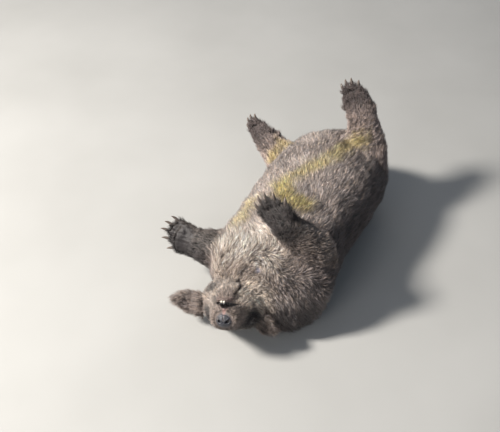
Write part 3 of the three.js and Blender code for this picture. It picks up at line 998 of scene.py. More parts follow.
@dataclass
class HeadFrame:
    """The head's own axes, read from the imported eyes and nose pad, in millimetres."""

    eye_behind: float = 65.0  # mid-eye point behind the middle of the nose pad
    eye_crownward: float = 11.0
    pad_behind: float = 7.0
    pad_crownward: float = 4.0
    side: Array = field(init=False)
    forward: Array = field(init=False)
    throat: Array = field(init=False)
    origin: Array = field(init=False)

    def __post_init__(self) -> None:
        """Solve the axes."""
        left, right = box_centre("eye_left"), box_centre("eye_right")
        pad = box_centre("nose_pad")
        self.side = unit(right - left)
        ahead = unit(pad - (left + right) / 2)
        across = np.cross(ahead, self.side)
        angle = math.atan2(self.eye_crownward, self.eye_behind)
        self.forward = math.cos(angle) * ahead - math.sin(angle) * across
        self.throat = math.sin(angle) * ahead + math.cos(angle) * across
        out = self.pad_behind * self.forward + self.pad_crownward * self.throat
        self.origin = pad + MM * out

    def read(self, points: Array) -> tuple[Array, Array, Array]:
        """Give each point's distance behind the muzzle, to the right and towards the throat."""
        away = (points - self.origin) / MM
        return -away @ self.forward, away @ self.side, away @ self.throat

    def at(self, behind: float, right: float, down: float) -> Array:
        """Give the place with these head distances."""
        return self.origin + MM * (-behind * self.forward + right * self.side + down * self.throat)

    def eye_gap(self, places: Array) -> Array:
        """Measure how far each place is from the nearer eye, in millimetres."""
        return np.minimum(*[away_mm(places, box_centre(f"eye_{side}")) for side in SIDES])


@dataclass
class Claw:
    """One packed claw: its surface, and where its root and tip are."""

    node: str
    foot_middle: Array
    root_points: int = 7
    places: Array = field(init=False)
    triangles: Array = field(init=False)
    root: Array = field(init=False)
    tip: Array = field(init=False)
    bend: Array = field(init=False)

    def __post_init__(self) -> None:
        """Measure the claw."""
        self.places, self.triangles = node_arrays(self.node)
        order = np.argsort(np.linalg.norm(self.places - self.foot_middle, axis=1))
        self.root = self.places[order[: self.root_points]].mean(axis=0)
        self.tip = self.places[order[-1]]
        share = (self.places - self.root) @ unit(self.tip - self.root)
        share /= np.linalg.norm(self.tip - self.root)
        middle = self.places[(share > 0.25) & (share < 0.75)].mean(axis=0)
        self.bend = middle - (self.root + self.tip) / 2


@dataclass
class Foot:
    """A paw or hind foot: its claws and its own axes."""

    node: str
    middle: Array = field(init=False)
    claws: list[Claw] = field(init=False)
    distal: Array = field(init=False)
    across: Array = field(init=False)
    back: Array = field(init=False)
    knuckles: Array = field(init=False)

    def __post_init__(self) -> None:
        """Read the claws and solve the axes."""
        self.middle = box_centre(self.node)
        self.claws = [Claw(name, self.middle) for name in claw_nodes(self.node)]
        roots = np.array([claw.root for claw in self.claws])
        tips = np.array([claw.tip for claw in self.claws])
        self.knuckles = roots.mean(axis=0)
        self.distal = unit(tips.mean(axis=0) - self.knuckles)
        across = roots[-1] - roots[0]
        self.across = unit(across - across @ self.distal * self.distal)
        back = np.cross(self.distal, self.across)
        bend = np.mean([claw.bend for claw in self.claws], axis=0)
        self.back = unit(back if back @ bend > 0 else -back)


# Skin


@dataclass
class Field:
    """Values at the skin's vertices that the coat reads: one row to a vertex."""

    length: Array
    width: Array
    density: Array
    lift: Array
    flow: Array
    normal: Array
    colour: Array
    region: Array


@dataclass
class Landmarks:
    """Places on the skin that are seen through places in the photograph."""

    view: ViewPoint
    tree: BVHTree

    def line(self, pixels: list[Pixel]) -> Array:
        """Give the skin places under a line of image places.

        Args:
            pixels: Places in the image.

        Returns:
            One place for each that meets the skin.
        """
        start, sights = self.view.place(), [self.view.towards(*spot) for spot in pixels]
        hits = [self.tree.ray_cast(start, sight)[0] for sight in sights]
        return np.array([np.array(hit) for hit in hits if hit is not None])

    def line_gap(self, places: Array, pixels: list[Pixel]) -> Array:
        """Measure how far each place is from a line of image places, in millimetres."""
        return along_line(places, self.line(pixels)) / MM

    def spot_gap(self, places: Array, pixel: Pixel) -> Array:
        """Measure how far each place is from one image place, in millimetres."""
        return away_mm(places, self.line([pixel])[0])


@dataclass
class Skin:
    """One closed skin in place of all the flesh solids, inside them by the coat's depth.

    The reaches that hold the finest mesh, and the depths of the thin coat on the muzzle and
    round the eyes, are in millimetres.
    """

    view: ViewPoint
    head: HeadFrame
    feet: list[Foot]
    voxel: float = 2.1 * MM
    overlap: float = 0.45 * MM
    triangles_wanted: int = 176_000
    socket_plug: float = 6.2 * MM
    plug_out: float = 0.5 * MM
    plug_rings: int = 6
    plug_sides: int = 10
    face_behind: tuple[float, float] = (-20.0, 96.0)
    face_reach: float = 84.0
    foot_reach: float = 62.0
    foot_behind: float = -44.0
    ear_reach: float = 42.0
    crotch_reach: tuple[float, float] = (30.0, 8.0)
    crotch_rounds: int = 60
    muzzle_depth: float = 0.7
    muzzle_reach: tuple[float, float] = (24.0, 92.0)
    lid_depth: float = 0.6
    lid_reach: tuple[float, float] = (11.0, 27.0)
    floor_reach: tuple[float, float] = (9.0, 2.0)
    floor_press: float = 0.45  # share of the depth that is lost where the body rests
    thing: bpy.types.Object = field(init=False)
    neighbours: Neighbours = field(init=False)
    region: Array = field(init=False)

    def gathered(self) -> tuple[Array, Array, Array, Array]:
        """Collect the flesh surfaces, grown so that neighbours overlap.

        Returns:
            Grown places, places as packed, triangles, and the region of each triangle.
        """
        grown, plain, owners = [], [], []
        regions = flesh_regions()
        fillers = {name: Region.HEAD for name in ("eye_left", "eye_right", "nose_pad")}
        for name, region in (regions | fillers).items():
            places, triangles = node_arrays(name)
            out = vertex_normals(places, triangles) * (self.overlap if name in regions else 0)
            grown.append((places + out, triangles))
            plain.append((places, triangles))
            owners.append(np.full(len(triangles), region.value))
        rings = [math.pi * ring / self.plug_rings for ring in range(1, self.plug_rings)]
        sphere, triangles = ball(rings, self.plug_sides)
        for foot in self.feet:
            for claw in foot.claws:
                places = claw.root + self.plug_out * foot.distal + sphere * self.socket_plug
                grown.append((places, triangles))
                plain.append((places, triangles))
                owners.append(np.full(len(triangles), Region.FOOT.value))
        places, faces = joined(grown)
        return places, joined(plain)[0], faces, np.concatenate(owners)

    def fine(self, places: Array) -> Array:
        """Say which places keep the finest mesh: the face, the feet and the ears.

        Args:
            places: The skin's places.

        Returns:
            True where the mesh stays fine.
        """
        behind, right, down = self.head.read(places)
        near, far = self.face_behind
        keep = (behind < far) & (np.hypot(right, down) < self.face_reach) & (behind > near)
        for foot in self.feet:
            reach = (places - foot.knuckles) @ foot.distal / MM
            away = away_mm(places, foot.knuckles)
            keep |= (away < self.foot_reach) & (reach > self.foot_behind)
        for side in SIDES:
            keep |= away_mm(places, box_centre(f"ear_{side}")) < self.ear_reach
        return keep

    def build(self) -> None:
        """Make the skin's form."""
        grown, plain, faces, owners = self.gathered()
        self.thing = remeshed(make_mesh("skin", grown, faces), self.voxel)
        self.thin()
        places, triangles = mesh_arrays(self.thing.data)
        log.info("skin thinned: %d triangles", len(triangles))
        places = self.filleted(places, plain, faces, owners)
        outer = surface_tree(plain, faces)
        self.region = owners[[outer.find_nearest(Vector(place))[2] for place in places]]
        normals = unit(self.neighbours.blurred(vertex_normals(places, triangles), 3))
        places = places - normals * self.depths(places)[:, None]
        moved(self.thing, self.neighbours.faired(places, 3))

    def thin(self) -> None:
        """Smooth the even mesh, and thin it away from the face, the feet and the ears."""
        places, triangles = mesh_arrays(self.thing.data)
        places = Neighbours(self.thing.data).faired(places, 5)
        moved(self.thing, places)
        coarse = self.thing.vertex_groups.new(name="coarse")
        coarse.add(np.nonzero(~self.fine(places))[0].tolist(), 1.0, "REPLACE")
        thin = self.thing.modifiers.new("thin", "DECIMATE")
        thin.ratio = min(1.0, self.triangles_wanted / len(triangles))
        thin.vertex_group = "coarse"
        self.thing = settled(self.thing)
        self.thing.vertex_groups.clear()
        self.neighbours = Neighbours(self.thing.data)

    def filleted(self, places: Array, plain: Array, faces: Array, owners: Array) -> Array:
        """Soften the hollow creases where the legs leave the trunk.

        Args:
            places: The skin's places.
            plain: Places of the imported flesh.
            faces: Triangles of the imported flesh.
            owners: Region of each of those triangles.

        Returns:
            The softened places.
        """
        near = 1.0
        for part in ((Region.FORELEG, Region.HINDLEG), (Region.TRUNK, Region.NECK)):
            tree = surface_tree(plain, faces[in_regions(owners, *part)])
            gap = np.array([tree.find_nearest(Vector(place))[3] for place in places]) / MM
            near = near * smoothstep(*self.crotch_reach, gap)
        for _ in range(self.crotch_rounds):
            places = places + 0.6 * near[:, None] * (self.neighbours.mean(places) - places)
        return places

    def depths(self, places: Array) -> Array:
        """Say how deep the skin lies under the outer form, in metres.

        Args:
            places: The skin's places.

        Returns:
            One depth for each place.
        """
        depth = np.array([COATS[region].depth for region in Region])[self.region]
        full = COATS[Region.HEAD].depth

        def deepening(thin: float, reach: tuple[float, float], gap: Array) -> Array:
            """Let the coat grow from a thin place to the head's full depth."""
            return thin + (full - thin) * smoothstep(*reach, gap)

        muzzle = deepening(self.muzzle_depth, self.muzzle_reach, self.head.read(places)[0])
        near_eye = deepening(self.lid_depth, self.lid_reach, self.head.eye_gap(places))
        on_face = np.minimum(np.minimum(depth, muzzle), near_eye)
        depth = np.where(in_regions(self.region, Region.HEAD), on_face, depth)
        depth = self.neighbours.blurred(depth, 8)
        resting = smoothstep(*self.floor_reach, places[:, 2] / MM)
        return MM * depth * (1 - self.floor_press * resting)

    def share_of(self, region: Region, rounds: int) -> Array:
        """Give a soft mask of one region."""
        return self.neighbours.blurred(in_regions(self.region, region).astype(float), rounds)

    def unwrap(self) -> None:
        """Unwrap the skin's own shape onto one map."""
        bpy.context.view_layer.objects.active = self.thing
        self.thing.select_set(True)
        self.thing.data.uv_layers.new(name=BAKE_MAP)
        bpy.ops.object.mode_set(mode="EDIT")
        bpy.ops.mesh.select_all(action="SELECT")
        bpy.ops.uv.smart_project(angle_limit=math.radians(72), island_margin=0.002)
        bpy.ops.object.mode_set(mode="OBJECT")
        self.thing.select_set(False)


# Lips, lids and markings

# Lips: behind the muzzle, to one side, and down towards the throat, in millimetres.
UPPER_LIP = ((42, 31, 29), (32, 22, 28), (20, 12, 26), (12, 5, 24), (8, 0, 23))
LOWER_LIP = ((46, 20, 33), (38, 16, 37), (33, 11, 40), (30, 0, 40))
JAW_SLIDE, JAW_LENGTH = -12.0, 118.0  # the slack jaw hangs to the left at its front
MOUTH_CORNER = (42.0, 28.0)  # behind the muzzle, and down
PALATE_FALL, FLOOR_FALL = -0.025, 0.53  # how fast each falls away from the corner
PHILTRUM = ((-3.0, 8.0), (2.0, 14.0), (8.0, 22.0))  # behind the muzzle front, and down
LID_RINGS = ((12.0, 1.8, 1.3), (16.5, 1.6, -0.9), (20.5, 2.0, 0.6))  # radius, width, height

# Spray: a line of image places, its width in millimetres and its strength.
SPRAY_BANDS = (
    ([(286, 147), (276, 162), (263, 176)], 23.0, 0.5),
    ([(358, 142), (346, 148), (332, 159), (314, 170), (298, 179), (285, 187)], 24.0, 0.64),
    ([(285, 187), (282, 199), (292, 206), (300, 209)], 26.0, 0.86),
    ([(252, 205), (247, 216), (240, 226)], 24.0, 0.5),
    ([(222, 233), (208, 229)], 20.0, 0.35),
)
# Creases: a line of image places, then depth and width in millimetres; the colour along them is
# darkened as painted shade.
CHEEK_CREASES = (
    ([(234, 296), (238, 291), (241, 286), (239, 281)], 3.6, 3.4),
    ([(238, 282), (241, 274), (247, 266), (254, 257)], 2.0, 2.8),
    ([(250, 274), (256, 272), (260, 275)], 2.0, 3.0),
)
# Bluish spots: an image place and a width in millimetres.
BLUISH_SPOTS = (((238.0, 284.0), 8.0), ((257.0, 270.0), 7.5))
# Face patches: an image place, width in millimetres, the palette's name of the tone and its share.
# The cheek patch is painted light over paler cheek fur; the shade and flank patches are painted
# shade under the brow, beside the muzzle, between the ear and the jaw and on the side of the neck.
FACE_PATCHES_AND_PAINTED_LIGHT = (
    ((252.0, 298.0), 44.0, "cheek", 0.85),
    ((250.0, 323.0), 32.0, "shade", 0.95),
    ((216.0, 301.0), 13.0, "shade", 0.5),
    ((211.0, 290.0), 20.0, "shade", 0.8),
    ((224.0, 293.0), 24.0, "muzzle", 0.6),
    ((296.0, 318.0), 52.0, "shade", 0.6),
    ((292.0, 282.0), 56.0, "flank", 0.65),
)
ANKLE_REACH = (45.0, 130.0)  # from the knuckles: where the dark foot turns into the leg
SHOULDER_REACH = (90.0, 160.0)  # from the knuckles: where the dark foreleg turns paler


@dataclass(frozen=True)
class Palette:
    """Colours of the coat and the bare parts."""

    belly: Colour = linear(198, 181, 172)
    # The flank and back tones are partly painted shade, and the throat tone is partly painted
    # light.
    flank: Colour = linear(118, 106, 102)
    back: Colour = linear(78, 68, 65)
    throat: Colour = linear(242, 226, 212)
    head: Colour = linear(164, 148, 137)
    muzzle: Colour = linear(146, 130, 121)
    # Dark tone laid on the face as painted shade.
    shade: Colour = linear(36, 31, 31)
    ear: Colour = linear(134, 120, 113)
    ear_cup: Colour = linear(128, 114, 108)
    leg: Colour = linear(182, 164, 156)
    foreleg: Colour = linear(60, 52, 50)
    shoulder: Colour = linear(152, 137, 128)
    # Cheek tone lightened as painted light.
    cheek: Colour = linear(238, 220, 203)
    hind_foot: Colour = linear(80, 69, 68)
    forepaw: Colour = linear(40, 35, 36)
    pad: Colour = linear(36, 31, 33)
    lip: Colour = linear(112, 92, 90)
    philtrum: Colour = linear(160, 124, 118)
    nose_rim: Colour = linear(70, 66, 72)
    # Near black: the mouth's dark lining with painted shade.
    mouth: Colour = linear(16, 10, 11)
    lid: Colour = linear(42, 34, 34)
    bluish: Colour = linear(128, 130, 150)
    spray: Colour = linear(230, 206, 120)
    tail: Colour = linear(120, 100, 92)

    def limb(self, foot: str) -> tuple[Colour, Colour, Colour]:
        """Give the tones of a leg at its foot, in its middle and at its root.

        Args:
            foot: Name of the foot.

        Returns:
            Three colours.
        """
        # The left foreleg is darker than the right, with the paw tone up to its middle: painted
        # shade.
        if foot == "forepaw_left":
            return self.forepaw, self.forepaw, self.foreleg
        if foot.startswith("forepaw"):
            return self.forepaw, self.foreleg, self.shoulder
        return self.hind_foot, self.leg, self.leg


@dataclass
class Markings:
    """Colours, bareness and moisture over the skin, and how its face is folded."""

    skin: Skin
    palette: Palette = field(default_factory=Palette)
    places: Array = field(init=False)
    normals: Array = field(init=False)
    bare: Array = field(init=False)
    wet: Array = field(init=False)
    short: Array = field(init=False)
    colour: Array = field(init=False)

    def measure(self) -> None:
        """Read the skin's places and normals."""
        self.places, triangles = mesh_arrays(self.skin.thing.data)
        self.normals = vertex_normals(self.places, triangles)

    def landmarks(self) -> Landmarks:
        """Prepare to find places on the skin through the image."""
        return Landmarks(self.skin.view, surface_tree(*mesh_arrays(self.skin.thing.data)))

    def lip_line(self, lower: bool) -> Array:
        """Give the line of a lip from corner to corner.

        Args:
            lower: Whether it is the lower lip.

        Returns:
            The line's corners in order.
        """
        rim, points = LOWER_LIP if lower else UPPER_LIP, []
        for way, row in ((-1, rim), (1, rim[-2::-1])):
            for behind, right, down in row:
                slide = JAW_SLIDE * (1 - behind / JAW_LENGTH) if lower else 0.0
                points.append(self.skin.head.at(behind, way * right + slide, down))
        return np.array(points)

    def lip_gaps(self) -> list[Array]:
        """Measure how far each place is from the upper and the lower lip, in millimetres."""
        return [along_line(self.places, self.lip_line(lower)) / MM for lower in (False, True)]

    def philtrum_gap(self) -> Array:
        """Measure how far each place is from the groove under the nose pad, in metres."""
        line = [self.skin.head.at(behind, 0.0, down) for behind, down in PHILTRUM]
        return along_line(self.places, np.array(line))

    def eye_gaps(self) -> list[Array]:
        """Measure how far each place is from each eye, in millimetres."""
        return [away_mm(self.places, box_centre(f"eye_{side}")) for side in SIDES]

    def fold(self) -> None:
        """Press creases into the skin, raise the lips and lids, and keep what bares it."""
        self.measure()
        lift, self.short = np.zeros(len(self.places)), np.ones(len(self.places))
        landmarks = self.landmarks()
        for pixels, deep, wide in CHEEK_CREASES:
            gap = landmarks.line_gap(self.places, pixels)
            lift -= deep * bell(gap, wide)
            lift += 0.35 * deep * bell(gap - 2.2 * wide, wide)
            self.short *= 1 - 0.65 * bell(gap, wide * 1.6)
        for pixel, wide in BLUISH_SPOTS:
            gap = landmarks.spot_gap(self.places, pixel)
            self.short *= 1 - 0.65 * smoothstep(wide * 2.4, wide, gap)
        lift -= 1.4 * bell(self.philtrum_gap(), 1.3 * MM)
        for gap in self.lip_gaps():
            lift += 0.7 * bell(gap, 3.0)
        for gap in self.eye_gaps():
            for radius, wide, height in LID_RINGS:
                lift += height * bell(gap - radius, wide)
        behind, right, down = self.skin.head.read(self.places)
        wrinkle = smoothstep(46, 22, behind) * smoothstep(-4, 6, behind)
        wrinkle = wrinkle * smoothstep(34, 12, np.abs(down))
        lift += 0.35 * wrinkle * np.sin(behind * 1.15 + 0.02 * right**2)
        lift += 0.5 * ripple(self.places, 16 * MM, 5) * smoothstep(40, 100, behind)
        moved(self.skin.thing, self.places + self.normals * (lift * MM)[:, None])
        self.measure()
        self.short = self.skin.neighbours.blurred(self.short, 1)

    def mouth_share(self) -> Array:
        """Say how far inside the open mouth each place is.

        Returns:
            One share for each place, 1 deep inside.
        """
        behind, right, down = self.skin.head.read(self.places)
        corner_behind, corner_down = MOUTH_CORNER
        ahead = np.maximum(corner_behind - behind, 0)
        palate, floor = corner_down + ahead * PALATE_FALL, corner_down + ahead * FLOOR_FALL
        inside = smoothstep(-2.4, -0.6, down - palate) * smoothstep(-2.4, -0.6, floor - down)
        inside *= smoothstep(corner_behind + 4, corner_behind, behind)
        return inside * smoothstep(36, 32, np.abs(right)) * smoothstep(3, 8, behind)

    def trunk_colour(self) -> Array:
        """Shade the coat from the pale belly over the flanks to the darker back: the coat is paler
        below, but the darker flanks and back are partly painted shade, and the pale throat is
        partly painted light.
        """
        p, normals = self.palette, self.skin.neighbours.blurred(self.normals, 10)
        up = normals @ OUT_OF_BELLY + 0.05 * ripple(self.places, 90 * MM, 11)
        # Darker towards the back, which faces the floor: partly the coat's own tone, partly painted
        # shade.
        colour = mix(p.back, p.flank, smoothstep(-0.75, -0.15, up))
        colour = mix(colour, p.belly, smoothstep(0.30, 0.95, up))
        # Pale throat where it faces up: partly painted light.
        throat = smoothstep(-135, -225, self.places[:, 1] / MM) * smoothstep(0.35, 0.92, up)
        return mix(colour, p.throat, throat)

    def limb_colour(self, colour: Array) -> Array:
        """Shade each leg from its dark toes to the paler thigh or shoulder.

        Args:
            colour: Colours so far.

        Returns:
            The colours with the legs shaded.
        """
        gaps = [away_mm(self.places, foot.knuckles) for foot in self.skin.feet]
        for foot, away in zip(self.skin.feet, gaps):
            leg = Region.FORELEG if foot.node.startswith("forepaw") else Region.HINDLEG
            low, middle, high = self.palette.limb(foot.node)
            tone = mix(low, middle, smoothstep(*ANKLE_REACH, away))
            tone = mix(tone, high, smoothstep(*SHOULDER_REACH, away))
            mine = in_regions(self.skin.region, leg, Region.FOOT) & (away <= np.min(gaps, axis=0))
            colour = mix(colour, tone, 0.9 * mine)
        return colour

    def face_colour(self, colour: Array, is_head: Array) -> Array:
        """Shade the muzzle, the bridge of the nose, the cheeks and the hollows of the eyes, with
        the cheek brightened by painted light and the eye hollows darkened by painted shade.

        Args:
            colour: Colours so far.
            is_head: A soft mask of the head.

        Returns:
            The colours with the face shaded.
        """
        p, landmarks = self.palette, self.landmarks()
        behind, _, down = self.skin.head.read(self.places)
        colour = mix(colour, p.muzzle, 0.85 * (is_head * smoothstep(62, 18, behind)))
        colour = mix(colour, p.flank, 0.5 * (is_head * smoothstep(-8, -34, down)))
        # Most patches are painted light and shade: a brightened cheek, and painted shade in the
        # hollows and on the neck.
        for pixel, wide, tone, share in FACE_PATCHES_AND_PAINTED_LIGHT:
            gap = landmarks.spot_gap(self.places, pixel) + 4 * ripple(self.places, 24 * MM, 33)
            patch = share * smoothstep(wide * 1.5, wide * 0.4, gap)
            colour = mix(colour, getattr(p, tone), patch)
        # Painted shade: darken the hollows round the eyes.
        for gap in self.eye_gaps():
            colour = mix(colour, p.shade, 0.92 * is_head * smoothstep(36, 15, gap))
        return colour

    def paint(self) -> None:
        """Work out colour, bareness and moisture at every vertex of the skin."""
        p, skin, count = self.palette, self.skin, len(self.places)
        colour = self.trunk_colour()
        for kind, tone, share in (
            (Region.HEAD, p.head, 0.7),
            (Region.EAR, p.ear, 0.9),
            (Region.TAIL, p.tail, 0.9),
        ):
            colour = mix(colour, tone, share * in_regions(skin.region, kind))
        colour = skin.neighbours.blurred(self.limb_colour(colour), 14)
        is_head = skin.share_of(Region.HEAD, 4)
        colour = self.face_colour(colour, is_head)
        mottle = 1 + 0.05 * ripple(self.places, 55 * MM, 21)
        mottle = mottle + 0.05 * ripple(self.places, 17 * MM, 22)
        colour = self.sprayed(colour * mottle[:, None])
        self.bare, self.wet = np.zeros(count), np.zeros(count)
        colour = self.bare_feet(colour)
        colour = self.bare_face(colour, is_head)
        colour = self.bare_ears_and_tail(colour)
        self.colour = np.clip(colour, 0.004, 0.9)

    def sprayed(self, colour: Array) -> Array:
        """Add the faded yellow spray over the coat.

        Args:
            colour: Colours so far.

        Returns:
            The colours with the spray.
        """
        landmarks, mask = self.landmarks(), np.zeros(len(colour))
        broad, fine = 5.0 * ripple(self.places, 30 * MM, 31), 2.5 * ripple(self.places, 9 * MM, 32)
        for pixels, wide, strength in SPRAY_BANDS:
            gap = landmarks.line_gap(self.places, pixels) + broad + fine
            mask = np.maximum(mask, strength * smoothstep(wide * 1.7, wide * 0.15, gap))
        return mix(colour, self.palette.spray, 0.9 * mask)

    def expose(self, mask: Array, moist: float) -> None:
        """Bare and moisten the skin under a mask."""
        self.bare = np.maximum(self.bare, mask)
        self.wet = np.maximum(self.wet, moist * mask)

    def bare_feet(self, colour: Array) -> Array:
        """Bare the pads under the palms, soles and toes.

        Args:
            colour: Colours so far.

        Returns:
            The colours with the pads.
        """
        is_foot = in_regions(self.skin.region, Region.FOOT)
        for foot in self.skin.feet:
            away = (self.places - foot.knuckles) / MM
            under = smoothstep(0.3, 0.72, -self.normals @ foot.back)
            near = (np.linalg.norm(away, axis=1) < 86) & is_foot
            palm = under * smoothstep(-66, -56, away @ foot.distal) * near
            colour = mix(colour, self.palette.pad, 0.9 * palm)
            self.expose(palm, 0.15)
        return colour

    def bare_face(self, colour: Array, is_head: Array) -> Array:
        """Bare the mouth, lips, lids, the rim of the nose and two bluish spots, and darken the
        cheek creases with painted shade and the inside of the mouth with its dark lining and
        painted shade.

        Args:
            colour: Colours so far.
            is_head: A soft mask of the head.

        Returns:
            The colours with the bare places painted.
        """
        p, landmarks, spots = self.palette, self.landmarks(), np.zeros(len(colour))
        lip = smoothstep(5.4, 3.4, np.minimum(*self.lip_gaps()))
        lids = smoothstep(14.5, 12.4, np.minimum(*self.eye_gaps()))
        rim = smoothstep(22.5, 19, away_mm(self.places, box_centre("nose_pad"))) * is_head
        groove = smoothstep(5.0, 3.0, self.philtrum_gap() / MM) * is_head
        inside = self.mouth_share()
        for pixel, wide in BLUISH_SPOTS:
            gap = landmarks.spot_gap(self.places, pixel)
            spots = np.maximum(spots, smoothstep(wide * 1.35, wide * 0.6, gap))
        layers = [(p.nose_rim, 0.8, rim), (p.lip, 0.75, lip), (p.philtrum, 0.8, groove)]
        # The inside of the open mouth is painted near black: its dark lining and painted shade.
        layers += [(p.mouth, 1.0, inside), (p.lid, 0.9, lids)]
        # Painted shade: darken the cheek creases.
        for pixels, _, wide in CHEEK_CREASES:
            layers.append((p.shade, 0.8, bell(landmarks.line_gap(self.places, pixels), wide)))
        for tone, share, mask in layers + [(p.bluish, 0.85, spots)]:
            colour = mix(colour, tone, share * mask)
        moisture = [(rim, 0.4), (0.9 * lip, 0.5), (groove, 0.5), (inside, 1.0)]
        for mask, moist in moisture + [(lids, 0.8), (spots, 0.3)]:
            self.expose(mask, moist)
        return colour

    def bare_ears_and_tail(self, colour: Array) -> Array:
        """Thin the hair in the cups of the ears and on the tail.

        Args:
            colour: Colours so far.

        Returns:
            The colours with the cups.
        """
        region, cup = self.skin.region, np.zeros(len(colour))
        facing = smoothstep(0.1, 0.6, self.normals @ self.skin.head.forward)
        for side in SIDES:
            away = away_mm(self.places, box_centre(f"ear_{side}"))
            here = smoothstep(22, 15, away) * facing * in_regions(region, Region.EAR)
            cup = np.maximum(cup, here)
        self.expose(0.2 * cup, 0.0)
        self.expose(0.55 * in_regions(region, Region.TAIL), 0.0)
        self.bare = self.skin.neighbours.blurred(self.bare, 1)
        return mix(colour, self.palette.ear_cup, 0.75 * cup)

    def dress(self) -> None:
        """Store what the skin's finish reads."""
        under = self.colour * (0.62 + 0.38 * self.bare)[:, None]
        set_points(self.skin.thing, COLOUR_NAME, under)
        set_points(self.skin.thing, BARE_NAME, self.bare)
        set_points(self.skin.thing, SHINE_NAME, self.wet)


# Coat

# Where the lie of the hair can be seen: a place in the image and the way the tips point, in degrees
# from the image's right towards its top.
BODY_LIES = (
    ((262, 172), 130), ((255, 203), 128), ((240, 222), 140), ((285, 150), 120), ((280, 185), 125),
    ((302, 178), 95), ((318, 168), 70), ((340, 172), 48), ((325, 200), 60), ((352, 205), 45),
    ((315, 140), 100), ((268, 228), 150), ((226, 262), 40), ((242, 258), 45), ((248, 284), 50),
    ((264, 270), -75), ((266, 300), -30), ((282, 302), -50), ((300, 292), -58), ((318, 302), -48),
    ((296, 316), -40), ((345, 255), -75),
)
FORELEG_LIES = (((290, 228), 38), ((305, 240), 32), ((318, 254), 5), ((300, 256), 15))
HINDLEG_LIES = (((352, 112), 100), ((364, 112), 60), ((346, 138), 45), ((366, 140), 38))
LIES_REACH = 34.0  # millimetres over which a seen lie carries
LIES_STEP = 4.0  # pixels from a seen place to the one ahead of it


